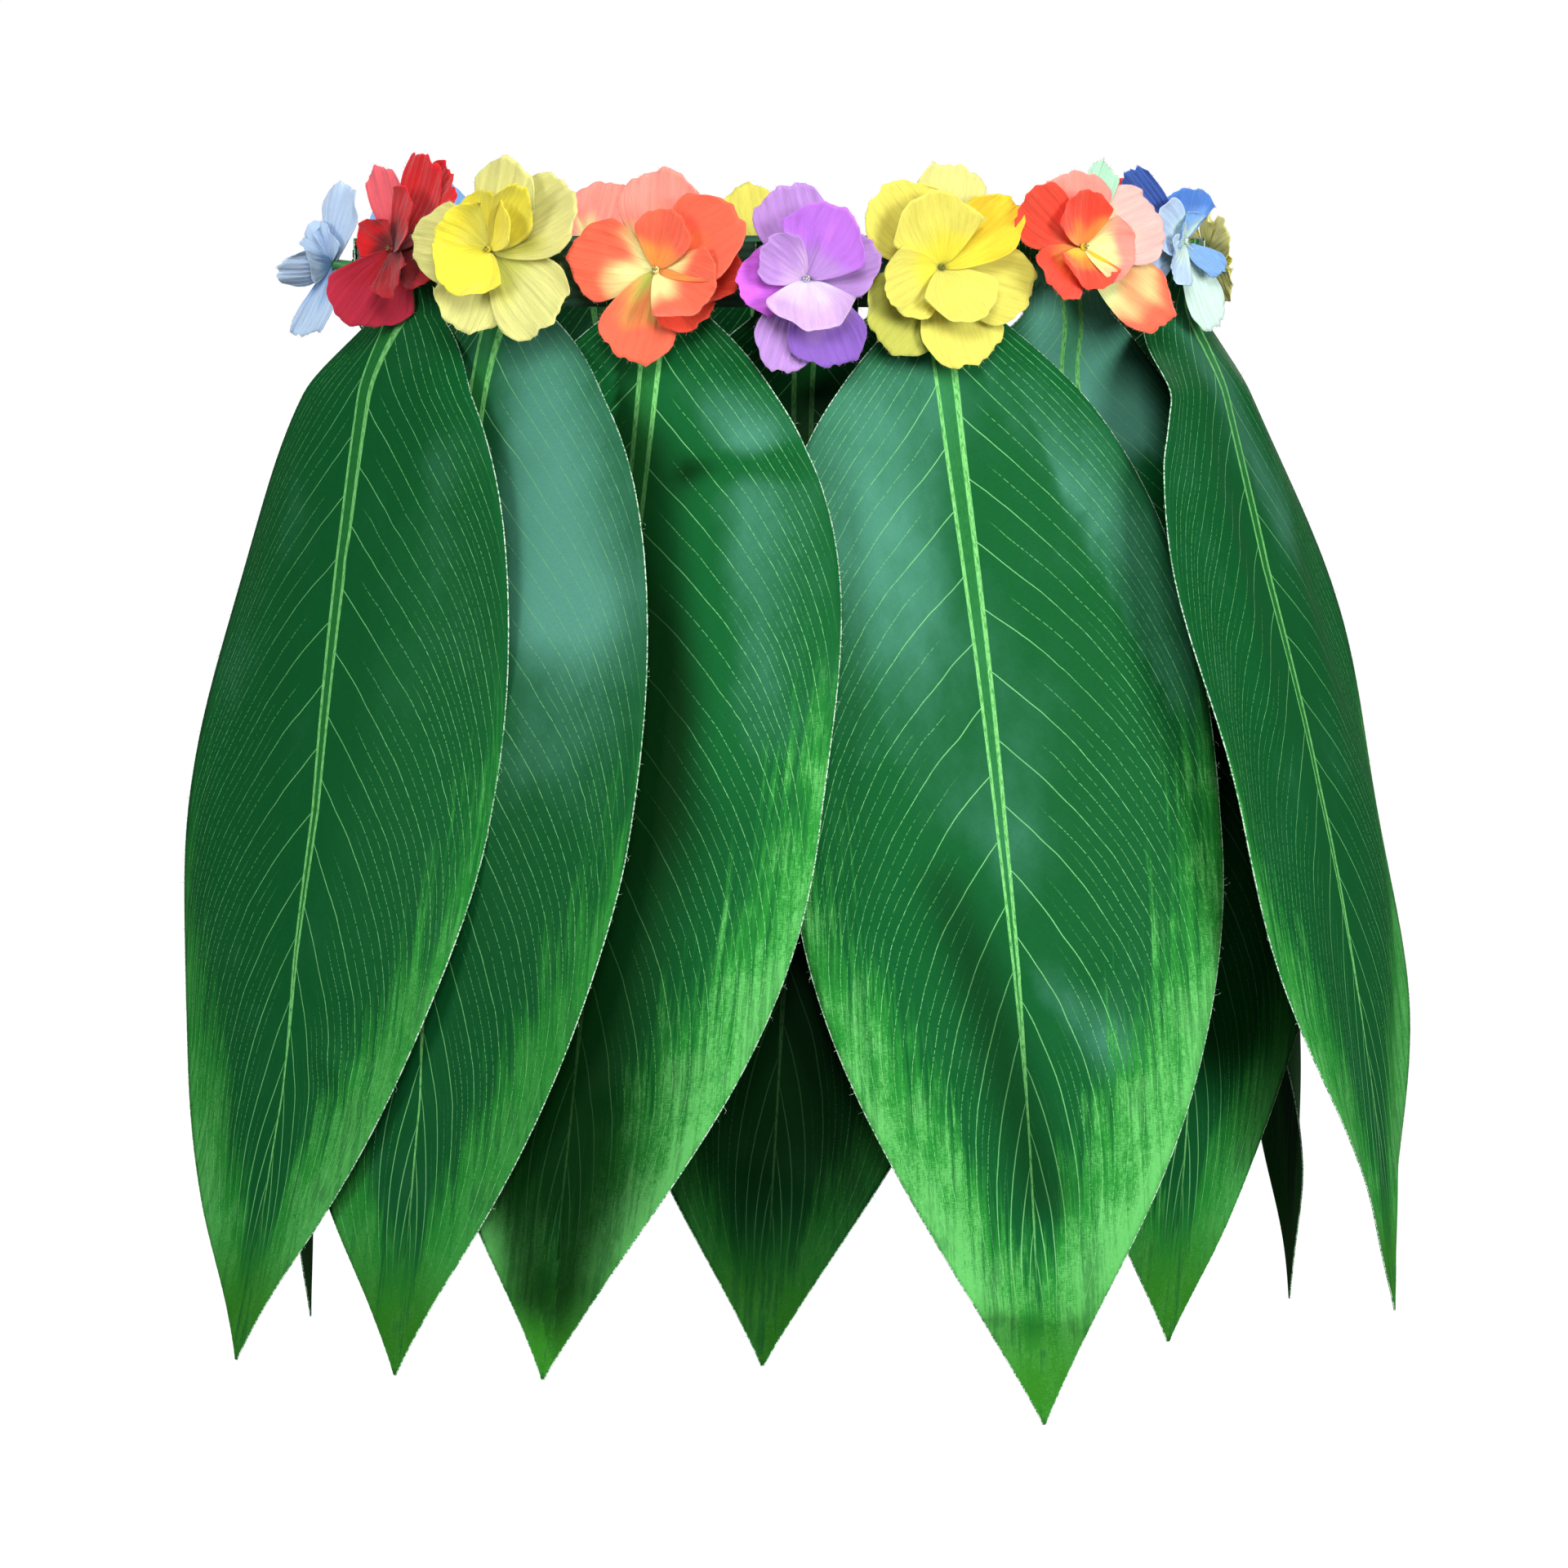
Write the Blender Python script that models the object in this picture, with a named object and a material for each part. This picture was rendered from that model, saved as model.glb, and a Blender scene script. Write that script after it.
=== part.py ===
"""A leaf skirt: cloth leaves hang from a woven elastic waistband, and a cloth flower covers the top of each.

Metres, +Z up. The origin is the middle of the waistband's ring, and the wearer faces -Y. An angle goes
round the ring in degrees: 0 is the front, 90 is +X and 180 is the back.
"""

import math
from typing import NamedTuple

import bmesh
import bpy
from mathutils import Matrix, Vector

# The waistband: an upright elliptical ring of elastic.
WAIST_WIDTH, WAIST_DEPTH = 0.380, 0.250  # over the outer face
BAND_HEIGHT, BAND_THICK = 0.028, 0.002
BAND_STEPS = 72

# The skirt flares below the band: what each half axis gains, and the length of cloth that the flare takes.
FLARE_WIDE, FLARE_DEEP = 0.083, 0.068
FLARE_LENGTH, FLARE_START, FLARE_END = 0.385, 1.20, 2.2
HANG = 0.985  # height lost per unit of cloth, because it hangs on a slant

# Every leaf is cut to one outline.
CLOTH = 0.0012
SEAM = 0.0003  # between pieces sewn to each other
LEAF_HALF = 0.096
TOP_HALF = 0.022
TIP_HALF = 0.0022
WIDEST_AT = 0.51  # share of the length
SHOULDER_FROM = 0.066  # share of the length where the leaf starts to widen, below the band
SHOULDER_POWER, POINT_POWER = 3.7, 1.10
LEAF_COLUMNS, LEAF_ROWS = 6, 16

# A leaf lies flat on the band, then leaves it for its own layer and its own roundness across.
LAP_FROM, LAP_TO = 0.029, 0.070  # lengths of cloth from its top
EDGE_WAVE, EDGE_WAVES = 0.0026, 2.6

# The flowers: a short stem cup, outer petals in a dish and inner petals in a deeper cup.
PETALS = 5
FLOWER_STEPS = 4 * PETALS
PETAL_CLOTH = 0.0012
STEM_SHARE = 0.13  # of the flower's radius
NOTCH = 0.16  # depth of the gap between two petals, as a share of the radius
FACE_UP = math.radians(9.0)  # the leaves push each flower's lower petals outwards
OVER_NEIGHBOUR = 0.014  # reach past the halfway line between two stems, where one flower is above the other
OFF_NEIGHBOUR = 0.002  # the same where they are level
PRESS = 8  # the higher, the squarer a flower is where a neighbour presses on it
LEVEL = 0.004  # stems that differ by less than this are level

ELASTIC_GREEN, ELASTIC_ROUGHNESS = (0.010, 0.090, 0.040), 0.85
SATIN_GREEN, SATIN_ROUGHNESS = (0.010, 0.130, 0.050), 0.45
PETAL_ROUGHNESS = 0.75
SHARP = math.radians(50)  # edges that turn more than this are shaded sharp


class Turn(NamedTuple):
    reach: float  # from the flower's axis, as a share of its radius
    above: float  # height over the top of its stem


PROFILE = (
    Turn(STEM_SHARE, 0.0),
    Turn(0.55, 0.0045),  # under the outer petals
    Turn(1.00, 0.0120),
    Turn(0.99, 0.0120 + PETAL_CLOTH),  # over them
    Turn(0.52, 0.0052 + PETAL_CLOTH),
    Turn(0.26, 0.0060),  # the foot of the inner petals
    Turn(0.50, 0.0190),
    Turn(0.46, 0.0200),  # their rim
    Turn(0.16, 0.0090),  # the hollow at the middle
)


class Leaf(NamedTuple):
    name: str
    root: float  # angle where it is sewn on
    hem: float  # angle at its tip
    sway: float  # degrees by which its middle strays from the line between them
    length: float
    turn: float  # degrees by which its right side stands out from the skirt's surface
    bend: float  # radius of its roundness across
    lift: float  # how far its layer stands off the skirt's surface
    drift: float  # more of the same, gained towards the tip


LEAVES = (
    Leaf("leaf_01", -61.0, -57.5, 8.5, 0.495, 2.5, 0.24, 0.010, 0.000),
    Leaf("leaf_02", -39.0, -36.5, 2.5, 0.491, 7.0, 0.32, 0.005, 0.000),
    Leaf("leaf_03", -16.0, -21.5, 1.5, 0.488, 6.0, 0.36, 0.002, 0.000),
    Leaf("leaf_04", 3.6, -1.7, 0.3, 0.486, 3.0, 0.36, -0.018, -0.012),
    Leaf("leaf_05", 22.5, 24.0, -1.0, 0.508, 4.0, 0.36, 0.004, 0.000),
    Leaf("leaf_06", 40.0, 43.2, 2.0, 0.486, 4.0, 0.30, -0.018, -0.014),
    Leaf("leaf_07", 67.0, 68.5, -4.5, 0.479, -12.0, 0.45, 0.010, 0.010),
    Leaf("leaf_08", 102.0, 99.0, 0.0, 0.495, 8.0, 0.14, -0.026, -0.010),
    Leaf("leaf_09", 133.0, 136.0, 0.0, 0.505, 4.0, 0.20, 0.004, 0.000),
    Leaf("leaf_10", 159.0, 150.0, 0.0, 0.488, 5.0, 0.22, -0.020, -0.014),
    Leaf("leaf_11", 183.0, 177.0, 0.0, 0.496, 2.0, 0.30, 0.004, 0.000),
    Leaf("leaf_12", 207.0, 202.0, 0.0, 0.486, 6.0, 0.26, -0.018, -0.014),
    Leaf("leaf_13", 233.0, 221.0, 0.0, 0.500, 2.0, 0.22, 0.004, 0.000),
    Leaf("leaf_14", 266.0, 267.0, 0.0, 0.500, 0.0, 0.14, -0.028, -0.030),
)


class Flower(NamedTuple):
    name: str
    angle: float
    up: float  # height of its middle
    wide: float  # half width of the outer petals, before the neighbours press on them
    tall: float  # half height of them
    stem: float  # from the leaf to the root of the petals
    roll: float  # turn of the petals about the flower's own axis
    colour: tuple


RED, YELLOW, CORAL = (0.68, 0.01, 0.02), (0.93, 0.83, 0.08), (0.95, 0.20, 0.09)
VIOLET, SKY, PALE_SKY = (0.56, 0.28, 0.80), (0.19, 0.42, 0.76), (0.55, 0.66, 0.90)
LOW, HIGH = 0.002, 0.011  # stem lengths

FLOWERS = (
    Flower("flower_01", -58.6, 0.009, 0.041, 0.0390, LOW, 12, RED),
    Flower("flower_02", -37.8, 0.008, 0.045, 0.0375, HIGH, -14, YELLOW),
    Flower("flower_03", -15.6, 0.001, 0.042, 0.0420, LOW, -6, CORAL),
    Flower("flower_04", 3.2, -0.004, 0.034, 0.0415, HIGH, -16, VIOLET),
    Flower("flower_05", 20.5, 0.002, 0.041, 0.0445, LOW, 30, YELLOW),
    Flower("flower_06", 42.4, 0.009, 0.039, 0.0350, HIGH, -6, CORAL),
    Flower("flower_07", 64.0, 0.012, 0.037, 0.0360, LOW, 10, SKY),
    Flower("flower_08", 102.0, 0.006, 0.038, 0.037, LOW, 5, YELLOW),
    Flower("flower_09", 133.0, 0.004, 0.040, 0.038, HIGH, 25, RED),
    Flower("flower_10", 159.0, 0.002, 0.041, 0.040, LOW, 50, VIOLET),
    Flower("flower_11", 183.0, 0.000, 0.041, 0.041, HIGH, 15, YELLOW),
    Flower("flower_12", 207.0, 0.002, 0.041, 0.039, LOW, 60, CORAL),
    Flower("flower_13", 233.0, 0.004, 0.038, 0.038, HIGH, 33, SKY),
    Flower("flower_14", 267.0, 0.001, 0.040, 0.038, HIGH, 8, PALE_SKY),
)


def smooth(low, high, value):
    share = min(max((value - low) / (high - low), 0.0), 1.0)
    return share * share * (3.0 - 2.0 * share)


def half_axes(down):
    """The skirt's half width and half depth, a length of cloth below the band's top edge."""
    share = min(max((down - BAND_HEIGHT) / FLARE_LENGTH, 0.0), 1.0)
    flare = 1.0 - (1.0 - share**FLARE_START) ** FLARE_END
    return WAIST_WIDTH / 2 + FLARE_WIDE * flare, WAIST_DEPTH / 2 + FLARE_DEEP * flare


def out_of(angle, wide, deep):
    """The level outward direction of an ellipse at an angle in radians."""
    return Vector((math.sin(angle) / wide, -math.cos(angle) / deep, 0.0)).normalized()


def on_ring(angle, wide, deep, out):
    """A level point: on the ellipse with these half axes, then moved outwards."""
    return Vector((wide * math.sin(angle), -deep * math.cos(angle), 0.0)) + out * out_of(angle, wide, deep)


def pace(angle, wide, deep):
    """Distance along the ellipse per radian of angle."""
    return math.hypot(wide * math.cos(angle), deep * math.sin(angle))


def walk(angle, across, wide, deep):
    """The angle that lies a distance along the ellipse from another angle, both in radians."""
    middle = angle + across / pace(angle, wide, deep) / 2
    return angle + across / pace(middle, wide, deep)


def leaf_half_width(share):
    """Half the leaf's width at a share of its length: a narrow top, a round shoulder and a long point."""
    if share < WIDEST_AT:
        rise = max(share - SHOULDER_FROM, 0.0) / (WIDEST_AT - SHOULDER_FROM)
        return TOP_HALF + (LEAF_HALF - TOP_HALF) * (1.0 - (1.0 - rise) ** SHOULDER_POWER)
    fall = (share - WIDEST_AT) / (1.0 - WIDEST_AT)
    return TIP_HALF + (LEAF_HALF - TIP_HALF) * max(math.cos(fall * math.pi / 2), 0.0) ** POINT_POWER


def leaf_point(leaf, side, share):
    """A point on the leaf's inner face: side goes -1 to 1 across it, share 0 to 1 down it."""
    down = share * leaf.length
    wide, deep = half_axes(down)
    stray = 4.0 * leaf.sway * share * (1.0 - share)
    middle = math.radians(leaf.root + (leaf.hem - leaf.root) * share + stray)
    across = side * leaf_half_width(share)
    on_band = on_ring(walk(middle, across, wide, deep), wide, deep, SEAM)
    facing = Matrix.Rotation(-math.radians(leaf.turn), 3, "Z") @ out_of(middle, wide, deep)
    along = Vector((0.0, 0.0, 1.0)).cross(facing)
    wave = EDGE_WAVE * side * side * math.sin(math.tau * EDGE_WAVES * share + leaf.root * (1.0 + side))
    in_layer = (
        on_ring(middle, wide, deep, SEAM + leaf.lift + leaf.drift * share)
        + along * leaf.bend * math.sin(across / leaf.bend)
        + facing * (wave - leaf.bend * (1.0 - math.cos(across / leaf.bend)))
    )
    point = on_band.lerp(in_layer, smooth(LAP_FROM, LAP_TO, down))
    point.z = BAND_HEIGHT / 2 - down * HANG
    return point


def material(name, colour, roughness):
    made = bpy.data.materials.new(name)
    made.use_nodes = True
    shader = made.node_tree.nodes["Principled BSDF"]
    shader.inputs["Base Color"].default_value = (*colour, 1.0)
    shader.inputs["Roughness"].default_value = roughness
    shader.inputs["Metallic"].default_value = 0.0
    return made


def add(name, bm, surface):
    """Keeps a finished mesh as an object in the scene, its faces turned outwards."""
    bmesh.ops.recalc_face_normals(bm, faces=bm.faces)
    if bm.calc_volume(signed=True) < 0.0:
        bmesh.ops.reverse_faces(bm, faces=bm.faces)
    mesh = bpy.data.meshes.new(name)
    bm.to_mesh(mesh)
    bm.free()
    mesh.materials.append(surface)
    mesh.shade_smooth()
    mesh.set_sharp_from_angle(angle=SHARP)
    made = bpy.data.objects.new(name, mesh)
    bpy.context.scene.collection.objects.link(made)
    return made


def waistband(surface):
    """An elliptical tube with square edges, extruded up from its two edge rings."""
    bm = bmesh.new()
    wide, deep = WAIST_WIDTH / 2, WAIST_DEPTH / 2
    angles = [math.tau * step / BAND_STEPS for step in range(BAND_STEPS)]
    below = Vector((0.0, 0.0, -BAND_HEIGHT / 2))
    rings = [
        [bm.verts.new(on_ring(angle, wide, deep, out) + below) for angle in angles]
        for out in (0.0, -BAND_THICK)
    ]
    floor = []
    for step in range(BAND_STEPS):
        after = (step + 1) % BAND_STEPS
        floor.append(bm.faces.new((rings[0][step], rings[1][step], rings[1][after], rings[0][after])))
    raised = bmesh.ops.extrude_face_region(bm, geom=floor)["geom"]
    corners = [item for item in raised if isinstance(item, bmesh.types.BMVert)]
    bmesh.ops.translate(bm, verts=corners, vec=(0.0, 0.0, BAND_HEIGHT))
    return add("waistband", bm, surface)


def cloth_leaf(leaf, surface):
    """A grid laid on the leaf's inner face and thickened outwards."""
    bm = bmesh.new()
    bmesh.ops.create_grid(bm, x_segments=LEAF_COLUMNS, y_segments=LEAF_ROWS, size=1.0)
    for vert in bm.verts:
        side, share = vert.co.x, (1.0 - vert.co.y) / 2
        vert.co = leaf_point(leaf, side, share)
    made = add(leaf.name, bm, surface)
    thicken = made.modifiers.new("cloth", "SOLIDIFY")
    thicken.thickness = CLOTH
    thicken.offset = 1.0
    thicken.use_even_offset = True
    return made


def flower_profile(flower):
    """The flower's profile from the back of its stem cup to the middle of its face."""
    return [(STEM_SHARE, 0.0)] + [(turn.reach, flower.stem + turn.above) for turn in PROFILE]


def petal_reach(turn):
    """1 at the middle of a petal, less in the notches between petals."""
    return 1.0 - NOTCH * abs(math.cos(PETALS * turn / 2)) ** 3


def room_beside(flower, neighbour):
    """How far a flower's petals spread towards a neighbour."""
    wide, deep = WAIST_WIDTH / 2, WAIST_DEPTH / 2
    gap = math.radians(abs((neighbour.angle - flower.angle + 180.0) % 360.0 - 180.0))
    between = math.radians((flower.angle + neighbour.angle) / 2)
    level = abs(flower.stem - neighbour.stem) < LEVEL
    return gap * pace(between, wide, deep) / 2 + (OFF_NEIGHBOUR if level else OVER_NEIGHBOUR)


def pressed(across, room):
    """A sideways place in the flower, held within the room beside it."""
    return across / (1.0 + abs(across / room) ** PRESS) ** (1.0 / PRESS)


def cloth_flower(index, surface):
    """A profile spun about the flower's axis, notched into petals and pressed from both sides."""
    flower = FLOWERS[index]
    bm = bmesh.new()
    outline = [bm.verts.new((radius, 0.0, height)) for radius, height in flower_profile(flower)]
    edges = [bm.edges.new(pair) for pair in zip(outline, outline[1:])]
    bmesh.ops.spin(
        bm,
        geom=outline + edges,
        cent=(0, 0, 0),
        axis=(0, 0, 1),
        angle=math.tau,
        steps=FLOWER_STEPS,
        use_merge=True,
    )
    bmesh.ops.holes_fill(bm, edges=[edge for edge in bm.edges if edge.is_boundary])
    right = room_beside(flower, FLOWERS[(index + 1) % len(FLOWERS)])
    left = room_beside(flower, FLOWERS[index - 1])
    for vert in bm.verts:
        radius, turn = math.hypot(vert.co.x, vert.co.y), math.atan2(vert.co.y, vert.co.x)
        reach = radius * (petal_reach(turn) if radius > 2 * STEM_SHARE else 1.0)
        way = turn + math.radians(flower.roll)
        vert.co.x = reach * flower.wide * math.cos(way)
        vert.co.y = reach * flower.tall * math.sin(way)
        vert.co.x = pressed(vert.co.x, right if vert.co.x > 0.0 else left)
    angle = math.radians(flower.angle)
    out = out_of(angle, WAIST_WIDTH / 2, WAIST_DEPTH / 2)
    up = Vector((0.0, 0.0, 1.0))
    stand = SEAM + CLOTH + SEAM + STEM_SHARE * flower.tall * math.sin(FACE_UP)
    seat = on_ring(angle, WAIST_WIDTH / 2, WAIST_DEPTH / 2, stand) + flower.up * up
    place = Matrix((up.cross(out), up, out)).transposed().to_4x4()
    bm.transform(Matrix.Translation(seat) @ place @ Matrix.Rotation(-FACE_UP, 4, "X"))
    return add(flower.name, bm, surface)


def main():
    for old in list(bpy.data.objects):
        bpy.data.objects.remove(old, do_unlink=True)
    waistband(material("green elastic", ELASTIC_GREEN, ELASTIC_ROUGHNESS))
    satin = material("green satin", SATIN_GREEN, SATIN_ROUGHNESS)
    for leaf in LEAVES:
        cloth_leaf(leaf, satin)
    petals = {}
    for index, flower in enumerate(FLOWERS):
        if flower.colour not in petals:
            petals[flower.colour] = material(f"petal cloth {len(petals) + 1}", flower.colour, PETAL_ROUGHNESS)
        cloth_flower(index, petals[flower.colour])


main()
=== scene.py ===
# %% [markdown]
# # A ti leaf skirt
#
# Fourteen cloth leaves hang from a ring of woven elastic, and a cloth flower covers the top of each leaf. The
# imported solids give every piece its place. This script dresses them: printed satin on the leaves, dyed and
# pleated petals, ribbed elastic, hot-cut edges, frayed threads and stitches.

# %% Load the solids
import functools
import math
import random
from typing import NamedTuple

import bmesh
import bpy
from mathutils import Matrix, Vector, noise


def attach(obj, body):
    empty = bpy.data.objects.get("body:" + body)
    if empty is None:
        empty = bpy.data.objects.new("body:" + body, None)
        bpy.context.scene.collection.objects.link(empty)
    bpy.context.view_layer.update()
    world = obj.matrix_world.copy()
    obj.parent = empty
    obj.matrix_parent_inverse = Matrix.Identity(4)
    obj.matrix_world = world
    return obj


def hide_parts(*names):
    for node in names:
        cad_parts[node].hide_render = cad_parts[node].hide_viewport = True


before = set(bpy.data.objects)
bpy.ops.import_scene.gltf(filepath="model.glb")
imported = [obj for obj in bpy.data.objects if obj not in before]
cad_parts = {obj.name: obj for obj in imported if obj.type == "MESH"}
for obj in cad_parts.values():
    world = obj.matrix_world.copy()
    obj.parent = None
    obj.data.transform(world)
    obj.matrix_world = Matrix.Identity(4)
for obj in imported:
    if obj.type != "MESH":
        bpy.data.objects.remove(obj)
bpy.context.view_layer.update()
MM = 0.001

# %% [markdown]
# ## Materials as Python sums
#
# A material is a graph of nodes, and most of them are sums. A wrapped socket lets a sum be written as one: it
# overloads Python's operators, and each one adds a Math node. Any other node comes from one method, which
# sets the node up first and then fills its sockets with values or links. A colour is three numbers.


# %% Sockets and finishes
def operator(operation, swapped=False):
    """An operator for sockets, which adds a Math node over the socket and the other value."""

    def apply(socket, *others):
        values = (*others, socket) if swapped else (socket, *others)
        return socket.finish.sum(operation, *values)

    return apply


class Socket:
    """A number, colour or vector inside a finish."""

    def __init__(self, finish, output):
        self.finish, self.output = finish, output

    __add__, __radd__ = operator("ADD"), operator("ADD", True)
    __sub__, __rsub__ = operator("SUBTRACT"), operator("SUBTRACT", True)
    __mul__, __rmul__ = operator("MULTIPLY"), operator("MULTIPLY", True)
    __truediv__, __rtruediv__ = operator("DIVIDE"), operator("DIVIDE", True)
    __pow__, __abs__ = operator("POWER"), operator("ABSOLUTE")


class Finish:
    """A material whose nodes are added one by one."""

    def __init__(self, name):
        self.material = bpy.data.materials.new(name)
        self.material.use_nodes = True
        self.tree = self.material.node_tree
        self.shader = self.tree.nodes["Principled BSDF"]

    def node(self, kind, settings=None, sockets=None, output=0):
        made = self.tree.nodes.new("ShaderNode" + kind)
        for name, value in (settings or {}).items():
            if name == "stops":
                self.set_stops(made.color_ramp, value)
            else:
                setattr(made, name, value)
        for name, value in (sockets or {}).items():
            self.fill(made.inputs[name], value)
        return Socket(self, made.outputs[output])

    def set_stops(self, ramp, stops):
        ramp.elements[0].position, ramp.elements[1].position = stops[0][0], stops[-1][0]
        for place, _ in stops[1:-1]:
            ramp.elements.new(place)
        for element, (_, level) in zip(ramp.elements, stops):
            element.color = (level, level, level, 1.0)

    def fill(self, socket, value):
        if isinstance(value, Socket):
            self.tree.links.new(value.output, socket)
        elif socket.type == "RGBA":
            socket.default_value = (*value, 1.0)
        else:
            socket.default_value = value

    def set(self, **values):
        """Fills the shader's own sockets: Base_Color stands for Base Color."""
        for name, value in values.items():
            self.fill(self.shader.inputs[name.replace("_", " ")], value)

    def sum(self, operation, *values):
        """A Math node over numbers."""
        return self.node("Math", {"operation": operation}, dict(enumerate(values)))

    def most(self, first, second):
        return self.sum("MAXIMUM", first, second)

    def stored(self, name, output):
        """What each point of the mesh remembers: output 0 is a colour, 1 a vector and 2 a number."""
        return self.node("Attribute", {"attribute_name": name}, output=output)

    def parts(self, vector):
        return (self.node("SeparateXYZ", {}, {0: vector}, output=part) for part in range(3))

    def scaled(self, vector, by):
        return self.node("VectorMath", {"operation": "SCALE"}, {0: vector, 3: by})

    def place(self):
        """The point's place on its object."""
        return self.node("TexCoord", output=3)

    def noise(self, place, detail=2.0, rough=0.5):
        """Smooth random values from 0 to 1, one blotch per unit of place, a vector or three numbers."""
        if isinstance(place, tuple):
            place = self.node("CombineXYZ", {}, dict(enumerate(place)))
        sockets = {"Vector": place, "Scale": 1.0, "Detail": detail, "Roughness": rough}
        return self.node("TexNoise", {}, sockets)

    def ease(self, value, low, high):
        """0 below low, 1 above high and a smooth rise between them."""
        sockets = {"Value": value, "From Min": low, "From Max": high}
        return self.node("MapRange", {"interpolation_type": "SMOOTHSTEP"}, sockets)

    def mix(self, share, first, second):
        """One colour turning into another."""
        return self.node("Mix", {"data_type": "RGBA"}, {0: share, 6: first, 7: second}, output=2)

    def bump(self, height, distance, strength=1.0):
        return self.node("Bump", {}, {"Height": height, "Distance": distance, "Strength": strength})


print("one class for sums and one for finishes")

# %% [markdown]
# ## Camera, floor and light
#
# The skirt stays at the height of a worn one, so the floor is a metre below its waist. A pale floor and a
# white backdrop keep the colours true. The backdrop only shows to the camera: it would flood the skirt's
# hollow with light, which has to stay dark between the leaves. Large softboxes stand left and right of the
# camera, so a leaf that laps over its neighbour shades it from one side or the other, and one in front fills
# those shades. One more stands behind, for the back of the skirt.

# %% Camera
CAMERA_FAR = 2.5
CAMERA_UP = math.radians(6.0)
CAMERA_AIM = Vector((0.0, 0.0, -0.22))
VIEW_WIDTH = 0.7104  # what the square picture spans at the skirt's middle


def linked(name, data):
    """A new object in the scene."""
    made = bpy.data.objects.new(name, data)
    bpy.context.scene.collection.objects.link(made)
    return made


def aimed(thing):
    """How something turns to look at the skirt's middle."""
    return (CAMERA_AIM - thing.location).to_track_quat("-Z", "Y").to_euler()


camera_data = bpy.data.cameras.new("camera")
camera_data.angle = 2.0 * math.atan(VIEW_WIDTH / 2 / CAMERA_FAR)
camera_data.shift_x, camera_data.shift_y = 0.0026, -0.0172
camera = linked("camera", camera_data)
camera.location = CAMERA_AIM + CAMERA_FAR * Vector((0.0, -math.cos(CAMERA_UP), math.sin(CAMERA_UP)))
camera.rotation_euler = aimed(camera)
bpy.context.scene.camera = camera
print("camera at", tuple(round(v, 3) for v in camera.location))

# %% Floor, backdrop and softboxes
FLOOR_DOWN, STAGE_RADIUS = -1.0, 6.0
AMBIENT, BACKDROP = 0.16, 1.02
WHITE, BLACK, FLOOR_GREY = (1.0, 1.0, 1.0), (0.0, 0.0, 0.0), (0.05, 0.05, 0.05)


def stage_object(name, bm, finish):
    """A piece of the studio that glows evenly for the camera alone: it doesn't light the skirt."""
    finish.set(Emission_Color=WHITE, Emission_Strength=BACKDROP)
    mesh = bpy.data.meshes.new(name)
    bm.to_mesh(mesh)
    bm.free()
    mesh.materials.append(finish.material)
    made = linked(name, mesh)
    made.visible_diffuse = made.visible_glossy = False
    return made


paper = Finish("floor paper")
paper.set(Base_Color=FLOOR_GREY, Roughness=1.0)
bm = bmesh.new()
bmesh.ops.create_circle(bm, cap_ends=True, segments=64, radius=STAGE_RADIUS)
bmesh.ops.translate(bm, verts=bm.verts, vec=(0.0, 0.0, FLOOR_DOWN))
stage_object("floor", bm, paper)

glow = Finish("backdrop white")
glow.set(Base_Color=BLACK, Specular_IOR_Level=0.0)
bm = bmesh.new()
bmesh.ops.create_uvsphere(bm, u_segments=48, v_segments=24, radius=STAGE_RADIUS)
bmesh.ops.reverse_faces(bm, faces=bm.faces)
backdrop = stage_object("backdrop", bm, glow)
backdrop.visible_transmission = backdrop.visible_shadow = False

world = bpy.data.worlds.new("studio")
world.use_nodes = True
world.node_tree.nodes["Background"].inputs["Color"].default_value = (*WHITE, 1.0)
world.node_tree.nodes["Background"].inputs["Strength"].default_value = AMBIENT
bpy.context.scene.world = world


class Softbox(NamedTuple):
    name: str
    place: tuple
    size: float
    watts: float


SOFTBOXES = (
    Softbox("left softbox", (-2.4, -1.8, 0.5), 1.2, 44.0),
    Softbox("right softbox", (2.1, -2.2, 0.5), 1.2, 72.0),
    Softbox("front softbox", (0.1, -2.9, 1.5), 1.2, 66.0),
    Softbox("back softbox", (0.4, 2.8, 1.2), 2.0, 60.0),
)
for box in SOFTBOXES:
    data = bpy.data.lights.new(box.name, "AREA")
    data.shape, data.size, data.energy = "SQUARE", box.size, box.watts
    lamp = linked(box.name, data)
    lamp.location = box.place
    lamp.rotation_euler = aimed(lamp)
bpy.context.scene.view_settings.view_transform = "Standard"
print("softboxes:", len(SOFTBOXES))

# %% [markdown]
# ## The skirt's own form
#
# Every leaf is cut to one outline, and hangs in its own layer on a form that flares below the band. The form
# is the solids' form, worked out again here on a finer grid: an ellipse for each height, a middle line for
# each leaf, and a roundness across it.

# %% The form under the leaves
WAIST_WIDTH, WAIST_DEPTH, BAND_HEIGHT = 0.380, 0.250, 0.028
WAIST = WAIST_WIDTH / 2, WAIST_DEPTH / 2
FLARE_WIDE, FLARE_DEEP = 0.083, 0.068
FLARE_LENGTH, FLARE_START, FLARE_END = 0.385, 1.20, 2.2
HANG = 0.985  # height lost per unit of cloth
SEAM = 0.3 * MM
SOLID_CLOTH = 1.2 * MM  # the solids' cloth, inside which the finer cloth lies
UPWARDS = Vector((0.0, 0.0, 1.0))


def smooth(low, high, value):
    share = min(max((value - low) / (high - low), 0.0), 1.0)
    return share * share * (3.0 - 2.0 * share)


def half_axes(down):
    """The form's half width and half depth, a length of cloth below the band's top edge."""
    share = min(max((down - BAND_HEIGHT) / FLARE_LENGTH, 0.0), 1.0)
    flare = 1.0 - (1.0 - share**FLARE_START) ** FLARE_END
    return WAIST[0] + FLARE_WIDE * flare, WAIST[1] + FLARE_DEEP * flare


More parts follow.
